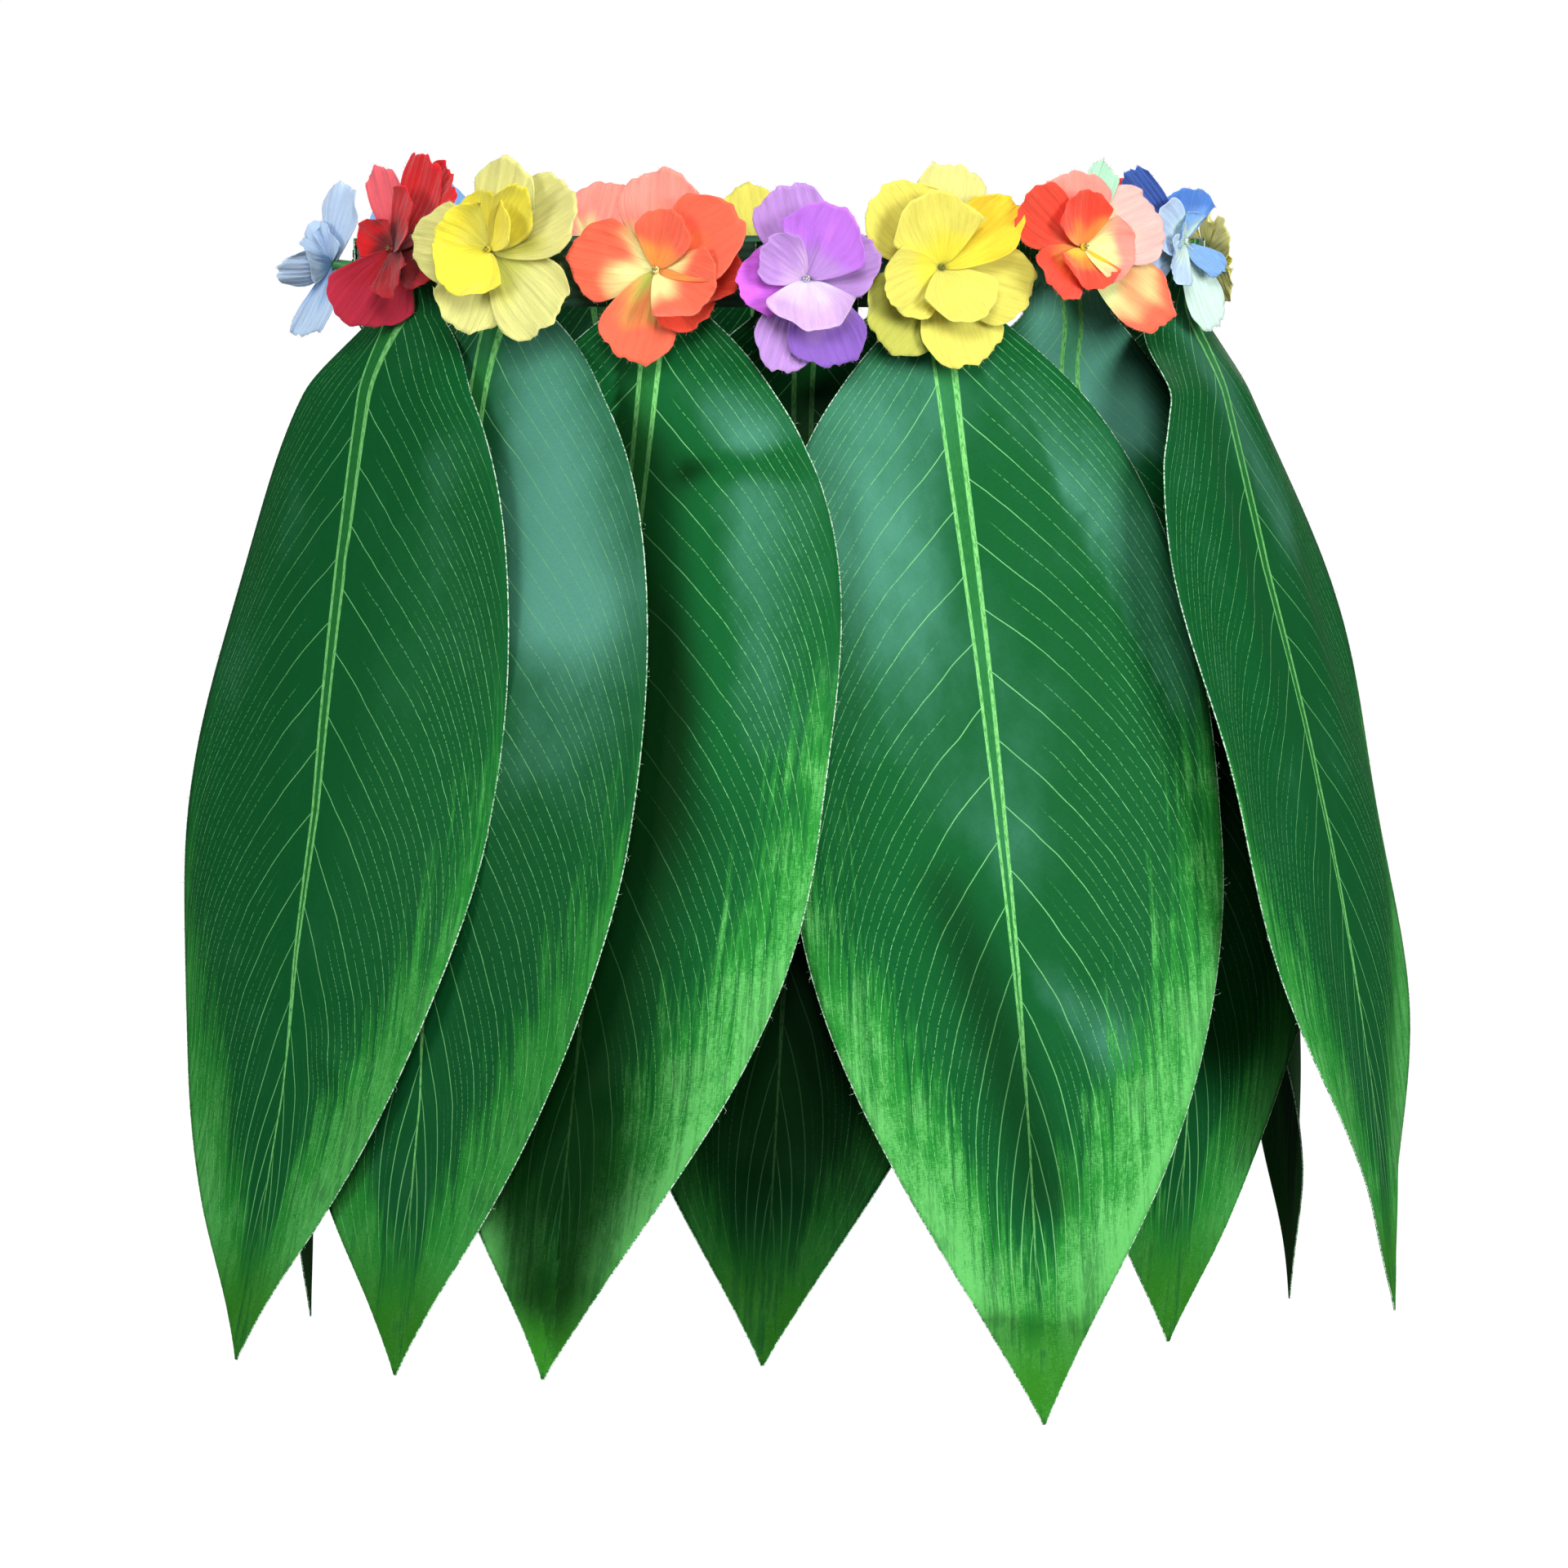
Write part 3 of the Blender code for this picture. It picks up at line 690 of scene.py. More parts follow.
def leaf_print(name, fade, rough):
    """Printed satin. fade says how much of the print comes through to this side of the cloth."""
    satin = Finish(name)
    ease, mix, most = satin.ease, satin.mix, satin.most
    cut, vein, tone = satin.stored("cut", 1), satin.stored("vein", 1), satin.stored("tone", 2)
    across, share, half = satin.parts(cut)
    # the vein's start and density, and the patches' painted sheen and painted shade
    start, density, painted_light = satin.parts(vein)
    down = share * LEAF_LENGTH
    far = abs(across)
    wide = far / half

    def spots(sizes, lot, *rough):
        """Blotches over the leaf, other ones for each lot of cloth."""
        return satin.noise((across * sizes[0], down * sizes[1], lot), *rough)

    # side veins, by how far the nearest one is and how strongly the screen printed it
    left = satin.sum("LESS_THAN", across, 0.0)
    wobble = spots(WOBBLES, tone * 9.0) - 0.5
    phase = (start + wobble * 0.010) / VEIN_GAP + left * 0.45
    spacing = VEIN_GAP / density

    def off_vein(turns):
        """How far away the nearest vein is, of those that lie one turn apart."""
        return abs(satin.sum("FRACT", turns) - 0.5) * spacing

    screen = satin.noise((phase * 7.0, down * 760.0, left * 9.0), 1.0)
    strength = satin.noise((phase * 1.3, far * 40.0, left * 5.0), 1.0)
    dots = ease(screen, 0.40, 0.54)
    off_main, off_half, off_fine = off_vein(phase), off_vein(phase + 0.5), off_vein(phase * 2.0) * 0.5
    outer = ease(wide, 0.10, 0.60)
    main = 1.0 - ease(off_main, MAIN_LINE[0] - outer * 0.00005, MAIN_LINE[1] - outer * 0.00011)
    main = main * (1.0 - outer * (1.0 - dots) * 0.75)
    half_line = (1.0 - ease(off_half, *HALF_LINE)) * dots
    half_line = half_line * ease(wide + strength * 0.3, 0.30, 0.42) * ease(spacing, 0.0045, 0.0090)
    fine = (1.0 - ease(off_fine, *FINE_LINE)) * dots
    fine = fine * ease(wide * 0.8 + share + strength * 0.6, 1.00, 1.25) * ease(spacing, 0.0070, 0.0130)
    main = main * ease(spacing, 0.0012, 0.0040)
    veins = most(most(main, half_line * 0.75), fine * 0.60)
    veins = veins * (strength * 0.8 + 0.55) * (1.0 - ease(wide, 0.90, 1.0))
    veins = veins * (1.0 - ease(share, *VEINS_END))

    # the two ribs and the ground between them
    fleck = spots(FLECKS, 7.0, 2.0, 0.6)
    rib_out = most(1.0 - share / RIBS_MEET, 0.0) ** 0.8 * RIB_APART
    rib_half = 0.00125 - share * 0.00095
    rib = 1.0 - ease(abs(far - rib_out) / rib_half + (fleck - 0.5) * 0.5, 0.75, 1.10)
    rib = rib * (1.0 - ease(share, *RIBS_END))
    outside = ease(far - rib_out, 0.0, 0.0009)
    core = (1.0 - outside) * fleck * 0.9

    # ground with the patches' painted sheen, and bright margins
    warp, weft = spots(WARP, 1.0, 1.0), spots(WEFT, 2.0, 1.0)
    grain = warp * 0.5 + weft * 0.5
    mottle = spots(MOTTLES, tone * 40.0, 4.0, 0.65)
    streak = spots(STREAKS, tone * 7.0, 4.0, 0.70)
    blotch = spots(BLOTCHES, tone * 3.0, 4.0, 0.62)
    # painted highlight: where the patches are above zero the ground turns to the painted sheen colour, and
    # the cloth is a little less rough there
    painted_sheen_and_gloss = ease(painted_light + (mottle - 0.5) * 0.9, 0.0, 1.25)
    ground_and_sheen = mix(painted_sheen_and_gloss, GROUND, PAINTED_SHEEN)
    inner = satin.node("ValToRGB", {"stops": MARGIN_STOPS}, {0: share})
    reach = wide - inner - left * 0.08 + (streak - 0.5) * 1.00 + (blotch - 0.5) * 0.36
    reach = reach + (tone - 1.0) * 0.60
    margin = ease(reach, -0.14, 0.20) * ease(share, *MARGINS_START)
    margin = most(margin, ease(share + (streak - 0.5) * 0.10, *TIP_STARTS))
    light = ease(reach * 0.75 + (blotch - 0.5) * 1.1 + (grain - 0.5) * 0.9, 0.0, 0.52)
    light = light * (ease(tone, 0.75, 1.10) * 0.80 + 0.20)
    bright = mix(light, BRIGHT, LIGHT)
    tip = mix(ease(blotch + (grain - 0.5) * 0.7, 0.40, 0.64) * 0.16, TIP, LIGHT)
    bright = mix(ease(share + (blotch - 0.5) * 0.10, *TIP_DARKENS), bright, tip)
    worn = ease((0.5 - streak) * 0.9 + (blotch - 0.5) * 0.8, -0.02, 0.16) * (0.66 - wide * 0.26)
    bright = mix(worn, bright, GROUND)
    colour = mix(margin, ground_and_sheen, bright)
    colour = mix(veins * outside, colour, VEIN)
    colour = mix(core * (1.0 - ease(share, *CORE_ENDS)), colour, RIB_CORE)
    rib_shade = mix(ease(fleck, 0.25, 0.60), RIB_CORE, RIB)
    colour = mix(rib, colour, rib_shade)
    # painted shade: where the patches are below zero the colour turns to the painted shadow colour
    painted_shadow = most(0.0 - painted_light, 0.0)
    colour = mix(ease(painted_shadow, 0.0, 1.0) * 0.93, colour, PAINTED_SHADE)

    # the dye lot with painted shade on leaves that hang in shade, the weave, and what comes through to this
    # side
    level = (grain * 0.50 + 0.75) * tone * fade
    colour = satin.scaled(colour, level)
    ripple = spots(RIPPLES, tone * 30.0, 3.0, 0.55)
    normal = satin.bump(ripple + grain * 0.04, 0.0030, 0.55)
    satin.set(Base_Color=colour, Roughness=rough - painted_sheen_and_gloss * 0.12, Normal=normal, Specular_IOR_Level=0.03)
    return satin.material


satin_front = leaf_print("printed satin", 1.0, 0.52)
satin_back = leaf_print("printed satin, back", 0.40, 0.66)
leaf_cloths = [leaf_cloth(leaf, satin_front, satin_back) for leaf in LEAVES]
print("leaves:", len(leaf_cloths), "nodes in the print:", len(satin_front.node_tree.nodes))

# %% [markdown]
# ## Hot-cut edges and frayed threads
#
# Printed satin is cut with a hot wire, which melts its edge into a thin pale bead and leaves a few threads
# standing out. A thread is a line of points with a thickness, so it is drawn as a curve, and then made a
# mesh.

# %% Threads
BEAD, BEAD_STEP = 0.34 * MM, 2.6 * MM
FRAY, FRAYS_A_LEAF, FRAY_LENGTHS = 0.075 * MM, 54, (1.2, 1.6, 2.0, 2.6, 3.4)
FRAYS_AT, FRAYS_SPREAD = 0.46, 0.19  # where along the edge they crowd


class Strand(NamedTuple):
    points: list
    thick: float  # radius at its root
    taper: float  # share of it that is left at its end


def threads(name, strands, material, slot):
    """Strands as one mesh of thin tubes."""
    curve = bpy.data.curves.new(name, "CURVE")
    curve.dimensions = "3D"
    curve.bevel_depth, curve.bevel_resolution = 1.0, 0
    curve.use_fill_caps = True
    for strand in strands:
        spline = curve.splines.new("POLY")
        last = len(strand.points) - 1
        spline.points.add(last)
        for step, (point, place) in enumerate(zip(spline.points, strand.points)):
            point.co = (*place, 1.0)
            point.radius = strand.thick * (1.0 - (1.0 - strand.taper) * step / last)
    drawn = linked(name + "_drawn", curve)
    mesh = bpy.data.meshes.new_from_object(drawn)
    bpy.data.objects.remove(drawn)
    bpy.data.curves.remove(curve)
    mesh.name = name
    return dressed(name, mesh, slot, material)


def thread_finish(name, pale, deep, dots):
    """Dull thread whose colour changes in dots along it."""
    thread = Finish(name)
    place = thread.scaled(thread.place(), dots)
    shade = thread.mix(thread.ease(thread.noise(place, 1.0), 0.42, 0.55), deep, pale)
    thread.set(Base_Color=shade, Roughness=0.7)
    return thread.material


def outline(leaf, side):
    """One edge of a leaf, from the waistband down, along the middle of the cloth."""
    count = round(leaf.length / BEAD_STEP)
    shares = [step / count for step in range(count + 1)]
    return [leaf_point(leaf, side, share, cloth_out(leaf, side, share) + CLOTH / 2) for share in shares]


def frays(leaf, side, edge, rng):
    """Short threads that stand out from an edge, most of them along its middle."""
    strands = []
    for _ in range(FRAYS_A_LEAF // 2):
        step = round(len(edge) * min(max(rng.gauss(FRAYS_AT, FRAYS_SPREAD), 0.06), 0.97))
        step = min(max(step, 1), len(edge) - 2)
        run = (edge[step + 1] - edge[step - 1]).normalized()
        facing = out_of(math.radians(leaf.root), WAIST_WIDTH, WAIST_DEPTH)
        away = run.cross(facing).normalized() * (1.0 if side < 0 else -1.0)
        reach = rng.choice(FRAY_LENGTHS) * MM
        lean, rise = rng.uniform(-0.9, 1.2), rng.uniform(0.0, 0.5)
        root = edge[step]
        elbow = root + (away + run * lean * 0.4) * reach * 0.6
        tip = root + (away + run * lean + facing * rise).normalized() * reach
        strands.append(Strand([root, elbow, tip], FRAY, 0.5))
    return strands


edge_thread = thread_finish("hot-cut edge", (0.62, 0.80, 0.62), (0.05, 0.26, 0.09), 900.0)
rng = random.Random(14)
for leaf, piece in zip(LEAVES, leaf_cloths):
    left, right = outline(leaf, -1.0), outline(leaf, 1.0)
    strands = [Strand(left + right[::-1], BEAD, 1.0)]
    strands += frays(leaf, -1, left, rng) + frays(leaf, 1, right, rng)
    edge = threads(f"{leaf.name}_edge", strands, edge_thread, "leaf_satin")
    flat, area = (2 * LEAF_HALF, leaf.length), cut_area * leaf.length
print("edges:", len(LEAVES), "frays on each:", FRAYS_A_LEAF)

# %% [markdown]
# ## The waistband
#
# The band is ribbed elastic: cords run inside it all the way round and raise a row of ridges. It is drawn as
# a strip round the ellipse, ridged by a cosine. A zigzag stitch holds the leaves' tops to it.

# %% Ribbed elastic
BAND_COLUMNS, BAND_ROWS = 220, 42
CORDS, CORD_DEEP, BAND_WALL = 7, 0.35 * MM, 1.3 * MM
KNIT_LOOPS = (900.0, 900.0, 2600.0)  # blotches a metre, closer together up the band


def band_point(angle, up, out=0.0):
    """A point on the band's outer face, between its cords' tops and the grooves."""
    ridge = abs(math.cos(math.pi * CORDS * (up / BAND_HEIGHT + 0.5)))
    tight = noise.noise(Vector((math.cos(angle), math.sin(angle), up * 60.0)) * 9.0)
    level = out - CORD_DEEP * ridge**3 - 0.12 * MM * (1.0 + tight)
    point = on_ring(angle, *WAIST, level)
    point.z = up
    return point


elastic = Finish("ribbed elastic")
place = elastic.place()
height = elastic.node("SeparateXYZ", {}, {0: place}, output=2)
knit = elastic.noise(elastic.node("VectorMath", {"operation": "MULTIPLY"}, {0: place, 1: KNIT_LOOPS}), 1.0)
# painted shade: the colour is darkest in the grooves between the cords and lightest on their tops, and the
# knit speckles it
groove_shade = elastic.sum("COSINE", height * (math.tau * CORDS / BAND_HEIGHT)) * 0.5 + 0.5
shade = elastic.mix(groove_shade * 0.6 + knit * 0.4, (0.002, 0.030, 0.012), (0.012, 0.110, 0.045))
elastic.set(Base_Color=shade, Roughness=0.85, Normal=elastic.bump(knit, 0.0006, 0.5))
elastic.set(Sheen_Weight=0.2, Sheen_Roughness=0.6)

bm = bmesh.new()
bmesh.ops.create_grid(bm, x_segments=BAND_COLUMNS, y_segments=BAND_ROWS, size=1.0)
for vert in bm.verts:
    vert.co = band_point(math.pi * (vert.co.x + 1.0), vert.co.y * BAND_HEIGHT / 2)
bmesh.ops.remove_doubles(bm, verts=bm.verts, dist=0.00005)
waistband = finished("waistband_elastic", bm, "elastic", elastic.material)
thickened(waistband, BAND_WALL, -1.0)
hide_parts("waistband")
turns = [math.tau * step / STEPS for step in range(STEPS)]
speeds = [math.hypot(WAIST[0] * math.cos(turn), WAIST[1] * math.sin(turn)) for turn in turns]
band_round = sum(speeds) * math.tau / STEPS
print("elastic:", round(band_round, 3), "m round")

# %% Zigzag stitches
STITCH, STITCH_STEP, STITCH_HIGH = 0.22 * MM, 1.6 * MM, 1.6 * MM
BAND_STITCHES, INSIDE = (-0.0060, 0.0065), -BAND_WALL - 0.25 * MM
LEAF_STITCHES, STITCHES_A_LEAF = (0.0070, 0.0195), 20


def zigzag(step):
    return STITCH_HIGH * (1 if step % 2 else -1)


cotton = thread_finish("green cotton", (0.030, 0.200, 0.080), (0.008, 0.080, 0.030), 500.0)
rows = []
count = 2 * round(band_round / STITCH_STEP / 2)
for up in BAND_STITCHES:
    turns = [math.tau * step / count for step in range(count + 1)]
    rows.append([band_point(turn, up + zigzag(step), INSIDE) for step, turn in enumerate(turns)])
for leaf in LEAVES:
    for down in LEAF_STITCHES:
        shares = [(down + zigzag(step)) / leaf.length for step in range(STITCHES_A_LEAF + 1)]
        sides = [step * 2 / STITCHES_A_LEAF - 1.0 for step in range(STITCHES_A_LEAF + 1)]
        rows.append([leaf_point(leaf, *place, CLOTH_OUT + CLOTH + STITCH) for place in zip(sides, shares)])
threads("band_stitches", [Strand(row, STITCH, 1.0) for row in rows], cotton, "elastic")
print("rows of stitches:", len(rows))

# %% [markdown]
# ## Cloth petals
#
# A cloth flower is two layers of petals round a small knob, on a plastic stem that is sewn through the leaf.
# Each petal is its own curved cloth: its middle line bends from the root to the tip, its sides cup or fall,
# fine pleats fan out over it, and its rim is ruffled and frayed. The front flowers have their petals one by
# one, because each was crushed its own way. The rest are made by one rule.


# %% Flowers and their dyes
class Flower(NamedTuple):
    name: str
    angle: float  # where it is sewn on, in degrees
    up: float  # height of its middle
    tall: float
    stem: float  # from the leaf to the root of the petals
    slot: str
    heart: str  # dye of the knob at its middle
    lean: float = 0.0  # how far its stem is bent to the right


LOW, HIGH = 0.002, 0.011
FLOWER_TABLE = (
    (-58.6, 0.009, 0.039, LOW, "petal_red", "wine"),
    (-37.8, 0.008, 0.0375, HIGH, "petal_yellow", "sun"),
    (-15.6, 0.001, 0.042, LOW, "petal_coral", "cream"),
    (3.2, -0.004, 0.0415, HIGH, "petal_violet", "white lilac"),
    (20.5, 0.002, 0.0445, LOW, "petal_yellow", "olive"),
    (42.4, 0.009, 0.035, HIGH, "petal_coral", "gold", -0.009),
    (64, 0.012, 0.036, LOW, "petal_blue", "pale mint", -0.001),
    (102, 0.006, 0.037, LOW, "petal_yellow", "olive"),
    (133, 0.004, 0.038, HIGH, "petal_red", "wine"),
    (159, 0.002, 0.04, LOW, "petal_violet", "plum"),
    (183, 0, 0.041, HIGH, "petal_yellow", "olive"),
    (207, 0.002, 0.039, LOW, "petal_coral", "lime"),
    (233, 0.004, 0.038, HIGH, "petal_blue", "mint"),
    (267, 0.001, 0.038, 0.006, "petal_pale_blue", "mint"),
)
FLOWERS = [Flower(f"flower_{number:02}", *row) for number, row in enumerate(FLOWER_TABLE, 1)]
DYES = {
    "wine": (0.19, 0.004, 0.008), "crimson": (0.42, 0.004, 0.012), "red": (0.7, 0.008, 0.014),
    "ruby": (0.48, 0.015, 0.045), "rose": (0.8, 0.12, 0.15), "olive": (0.2, 0.23, 0.04),
    "sun": (0.86, 0.74, 0.05), "gold": (0.88, 0.6, 0.03), "lemon": (0.76, 0.69, 0.12),
    "pale lemon": (0.69, 0.67, 0.23), "lime": (0.52, 0.53, 0.09), "pale lime": (0.74, 0.82, 0.33),
    "cream": (0.94, 0.85, 0.33), "orange": (0.96, 0.3, 0.05), "coral": (0.95, 0.14, 0.07),
    "scarlet": (0.93, 0.07, 0.03), "salmon": (0.96, 0.3, 0.24), "pale pink": (0.88, 0.5, 0.45),
    "plum": (0.13, 0.06, 0.26), "purple": (0.24, 0.11, 0.48),
    "violet": (0.53, 0.18, 0.78), "magenta": (0.68, 0.14, 0.8), "lavender": (0.48, 0.27, 0.64),
    "lilac": (0.64, 0.42, 0.72), "white lilac": (0.7, 0.64, 0.86), "navy": (0.03, 0.1, 0.42),
    "blue": (0.07, 0.22, 0.62), "sky": (0.21, 0.42, 0.78), "pale blue": (0.48, 0.64, 0.87),
    "mint": (0.43, 0.77, 0.53), "pale mint": (0.62, 0.83, 0.72),
}
print("flowers:", len(FLOWERS), "dyes:", len(DYES))


# %% Petal table
class Petal(NamedTuple):
    flower: str
    layer: str
    across: float  # its tip, in millimetres to the right of the flower's middle
    up: float  # above it
    out: float  # outwards from the top of its stem
    width: float
    root: str  # its dye at the root
    rim: str  # and at the rim
    twist: float = 0.0  # degrees about its own middle line
    run: float = 0.0  # share of the petal by which the root's dye runs further


FRONT_PETALS = {
    ("flower_01", "outer"): (
        (-10, 35, 9, 18, "crimson", "rose", 25), (31, 38, 14, 26, "red", "red", 20),
        (41, 32, 9, 28, "crimson", "red"), (34, -8, 8, 26, "wine", "crimson"),
        (-13, -34, 12, 40, "crimson", "ruby", -35),
    ),
    ("flower_01", "inner"): (
        (-9, 9, 17, 24, "wine", "red"), (27, 20, 19, 26, "wine", "red"),
        (20, -20, 17, 20, "wine", "crimson"),
    ),
    ("flower_02", "outer"): (
        (13, 37, 11, 36, "lime", "pale lemon"), (43, 22, 10, 38, "lime", "pale lemon"),
        (37, -32, 10, 37, "lime", "pale lemon"), (-6, -36, 11, 36, "lime", "pale lemon"),
        (-33, 3, 12, 36, "lemon", "pale lemon"),
    ),
    ("flower_02", "inner"): (
        (-19, 8, 18, 34, "lemon", "sun"), (11, 21, 22, 32, "sun", "sun"), (-8, -21, 20, 36, "sun", "sun"),
        (25, 23, 22, 22, "lemon", "sun", 45),
    ),
    ("flower_03", "outer"): (
        (3, 42, 11, 38, "cream", "salmon"), (-36, 6, 11, 36, "cream", "coral"),
        (-10, -40, 11, 33, "lime", "coral"), (23, -22, 8, 30, "scarlet", "scarlet"),
        (38, -2, 8, 26, "coral", "scarlet"),
    ),
    ("flower_03", "inner"): (
        (38, 21, 19, 40, "orange", "coral"), (27, -15, 22, 36, "cream", "coral"),
        (8, 24, 16, 26, "orange", "coral"),
    ),
    ("flower_04", "outer"): (
        (-10, 39, 11, 32, "lilac", "lavender"), (-29, -3, 12, 32, "magenta", "magenta", 20),
        (30, 10, 9, 30, "lavender", "lavender"), (-13, -39, 10, 28, "purple", "lavender"),
        (13, -38, 10, 34, "lilac", "purple"),
    ),
    ("flower_04", "inner"): (
        (14, 28, 20, 40, "lavender", "violet"), (3, -25, 22, 38, "white lilac", "lilac"),
        (-19, 12, 18, 24, "lilac", "lavender"),
    ),
    ("flower_05", "outer"): (
        (6, 44, 11, 30, "sun", "pale lemon"), (-27, 32, 11, 38, "lemon", "lemon"),
        (39, -13, 8, 36, "lemon", "lemon"), (-30, -32, 10, 40, "lime", "lime"),
        (11, -43, 10, 38, "lime", "lemon"),
    ),
    ("flower_05", "inner"): (
        (-10, 29, 20, 40, "sun", "lemon"), (30, 25, 19, 28, "sun", "gold"),
        (-28, -15, 20, 32, "sun", "lemon"), (10, -25, 21, 35, "lemon", "lemon"),
    ),
    ("flower_06", "outer"): (
        (-16, 32, 10, 36, "coral", "salmon"), (-43, 20, 14, 28, "coral", "scarlet", -20),
        (-33, -19, 14, 26, "orange", "scarlet", 20), (30, 14, 8, 36, "cream", "pale pink"),
        (30, -32, 8, 34, "pale lime", "coral", 0, 0.22), (6, 36, 6, 14, "mint", "mint"),
    ),
    ("flower_06", "inner"): (
        (13, -4, 13, 30, "cream", "salmon", 0, 0.12), (-16, 22, 18, 26, "orange", "scarlet"),
        (-12, -19, 15, 30, "gold", "scarlet", 10),
    ),
    ("flower_07", "outer"): (
        (-42, 30, 5, 16, "blue", "navy", -30), (-5, 23, 10, 32, "sky", "blue", -20),
        (13, -14, 15, 15, "sky", "sky"), (12, -38, 6, 24, "pale mint", "pale mint", 20),
        (-40, -6, 6, 26, "pale mint", "pale blue"),
    ),
    ("flower_07", "inner"): (
        (-30, 9, 9, 26, "pale mint", "pale blue"), (-9, 10, 11, 24, "pale mint", "sky"),
        (-24, -14, 10, 24, "pale mint", "pale blue"),
    ),
    ("flower_14", "outer"): (
        (8, 36, 0, 26, "pale blue", "pale blue", 55), (14, -6, 25, 20, "sky", "pale blue"),
        (4, -34, 12, 16, "sky", "pale blue", -70), (-26, 20, 8, 26, "pale blue", "sky"),
        (-22, -24, 8, 24, "pale blue", "sky"),
    ),
    ("flower_14", "inner"): (
        (14, 4, 14, 22, "sky", "pale blue", 30), (-10, 14, 12, 22, "pale blue", "pale blue"),
        (2, 18, 10, 22, "pale blue", "pale blue", 60),
    ),
}
PETALS = [Petal(*place, *row) for place, rows in FRONT_PETALS.items() for row in rows]
print("petals placed one by one:", len(PETALS))


# %% Petals by rule, for the flowers at the back
class Ring(NamedTuple):
    layer: str
    count: int
    reach: float  # in millimetres, like the rest
    out: float
    width: float


RINGS = (Ring("outer", 5, 38, 11, 33), Ring("inner", 4, 24, 18, 28))
BACK_DYES = {
    "flower_08": ("lime", "pale lemon", "sun", "lemon"),
    "flower_09": ("wine", "red", "wine", "crimson"),
    "flower_10": ("plum", "lavender", "violet", "lilac"),
    "flower_11": ("lime", "lemon", "lemon", "sun"),
    "flower_12": ("cream", "salmon", "orange", "coral"),
    "flower_13": ("blue", "sky", "pale blue", "sky"),
}
CRUSHED = {"flower_08": 0.70}  # what is left of its spread
UNEVEN_TURN, UNEVEN_OUT = 0.12, 1.5
rng = random.Random(7)
for number, (name, dyes) in enumerate(BACK_DYES.items()):
    for ring, root, rim in zip(RINGS, dyes[::2], dyes[1::2]):
        for step in range(ring.count):
            turn = math.tau * (step + rng.uniform(-UNEVEN_TURN, UNEVEN_TURN)) / ring.count + number * 0.9
            crushed = CRUSHED.get(name, 1.0)
            reach = ring.reach * rng.uniform(0.88, 0.98) * crushed
            width = ring.width * rng.uniform(0.90, 1.10) * crushed
            out = (ring.out + rng.uniform(-UNEVEN_OUT, UNEVEN_OUT)) * crushed**2
            across, up = reach * math.sin(turn) * 0.97, reach * math.cos(turn)
            PETALS.append(Petal(name, ring.layer, across, up, out, width, root, rim))
print("petals in all:", len(PETALS))

# %% Petal shape
PETAL_COLUMNS, PETAL_ROWS = 36, 18
PETAL_CLOTH = 0.30 * MM
FACE_UP = math.radians(9.0)
STEM_SHARE = 0.13
ROOT_OUT, ROOT_RADIUS = 3.2 * MM, 1.0 * MM
ROOT_RISE = {"outer": 0.0, "inner": 1.2 * MM}
TIP_ROUND = 0.94  # 1 would be a half circle
ROOT_WIDE, WIDE_FROM = 0.14, 0.78  # its width at the root, and the share of its length where it is widest
BLEED, BLOT = (0.12, 0.62), 0.30
PLEATS, PLEAT_DEEP = 8.0, 0.26 * MM
SCALLOPS = ((3.1, 0.026), (7.3, 0.018), (15.0, 0.011), (27.0, 0.006))  # how many, how deep
UNFOLDS = (0.10, 0.55)  # shares of its length over which pleats and crumples set in
RUFFLE = {"outer": 2.3 * MM, "inner": 2.7 * MM}
RUFFLES = ((4.2, 11.0, 1.0), (9.5, 17.0, 0.7))  # how many, how they shift from petal to petal, how high
CRUMPLE = 1.5 * MM
LAP = 0.14  # by which one side of a petal stands over its neighbour
CUP = {"outer": 0.10, "inner": 0.34}
ELBOW = {"outer": (0.52, 0.16), "inner": (0.52, 0.40)}  # reach and rise of the middle line's bend


def flower_frame(flower):
    """The flower's own frame: x to its right, y up and z outwards from the leaf under it."""
    angle = math.radians(flower.angle)
    out = out_of(angle, *WAIST)
    stand = SEAM + SOLID_CLOTH + SEAM + STEM_SHARE * flower.tall * math.sin(FACE_UP)
    seat = on_ring(angle, *WAIST, stand)
    seat.z = flower.up
    place = Matrix((UPWARDS.cross(out), UPWARDS, out)).transposed().to_4x4()
    return Matrix.Translation(seat) @ place @ Matrix.Rotation(-FACE_UP, 4, "X")


def petal_half(share):
    """Half the petal's width, as a share of its widest: a narrow root that widens quickly."""
    return ROOT_WIDE + (1.0 - ROOT_WIDE) * math.sin(min(share / WIDE_FROM, 1.0) * math.pi / 2) ** 0.8


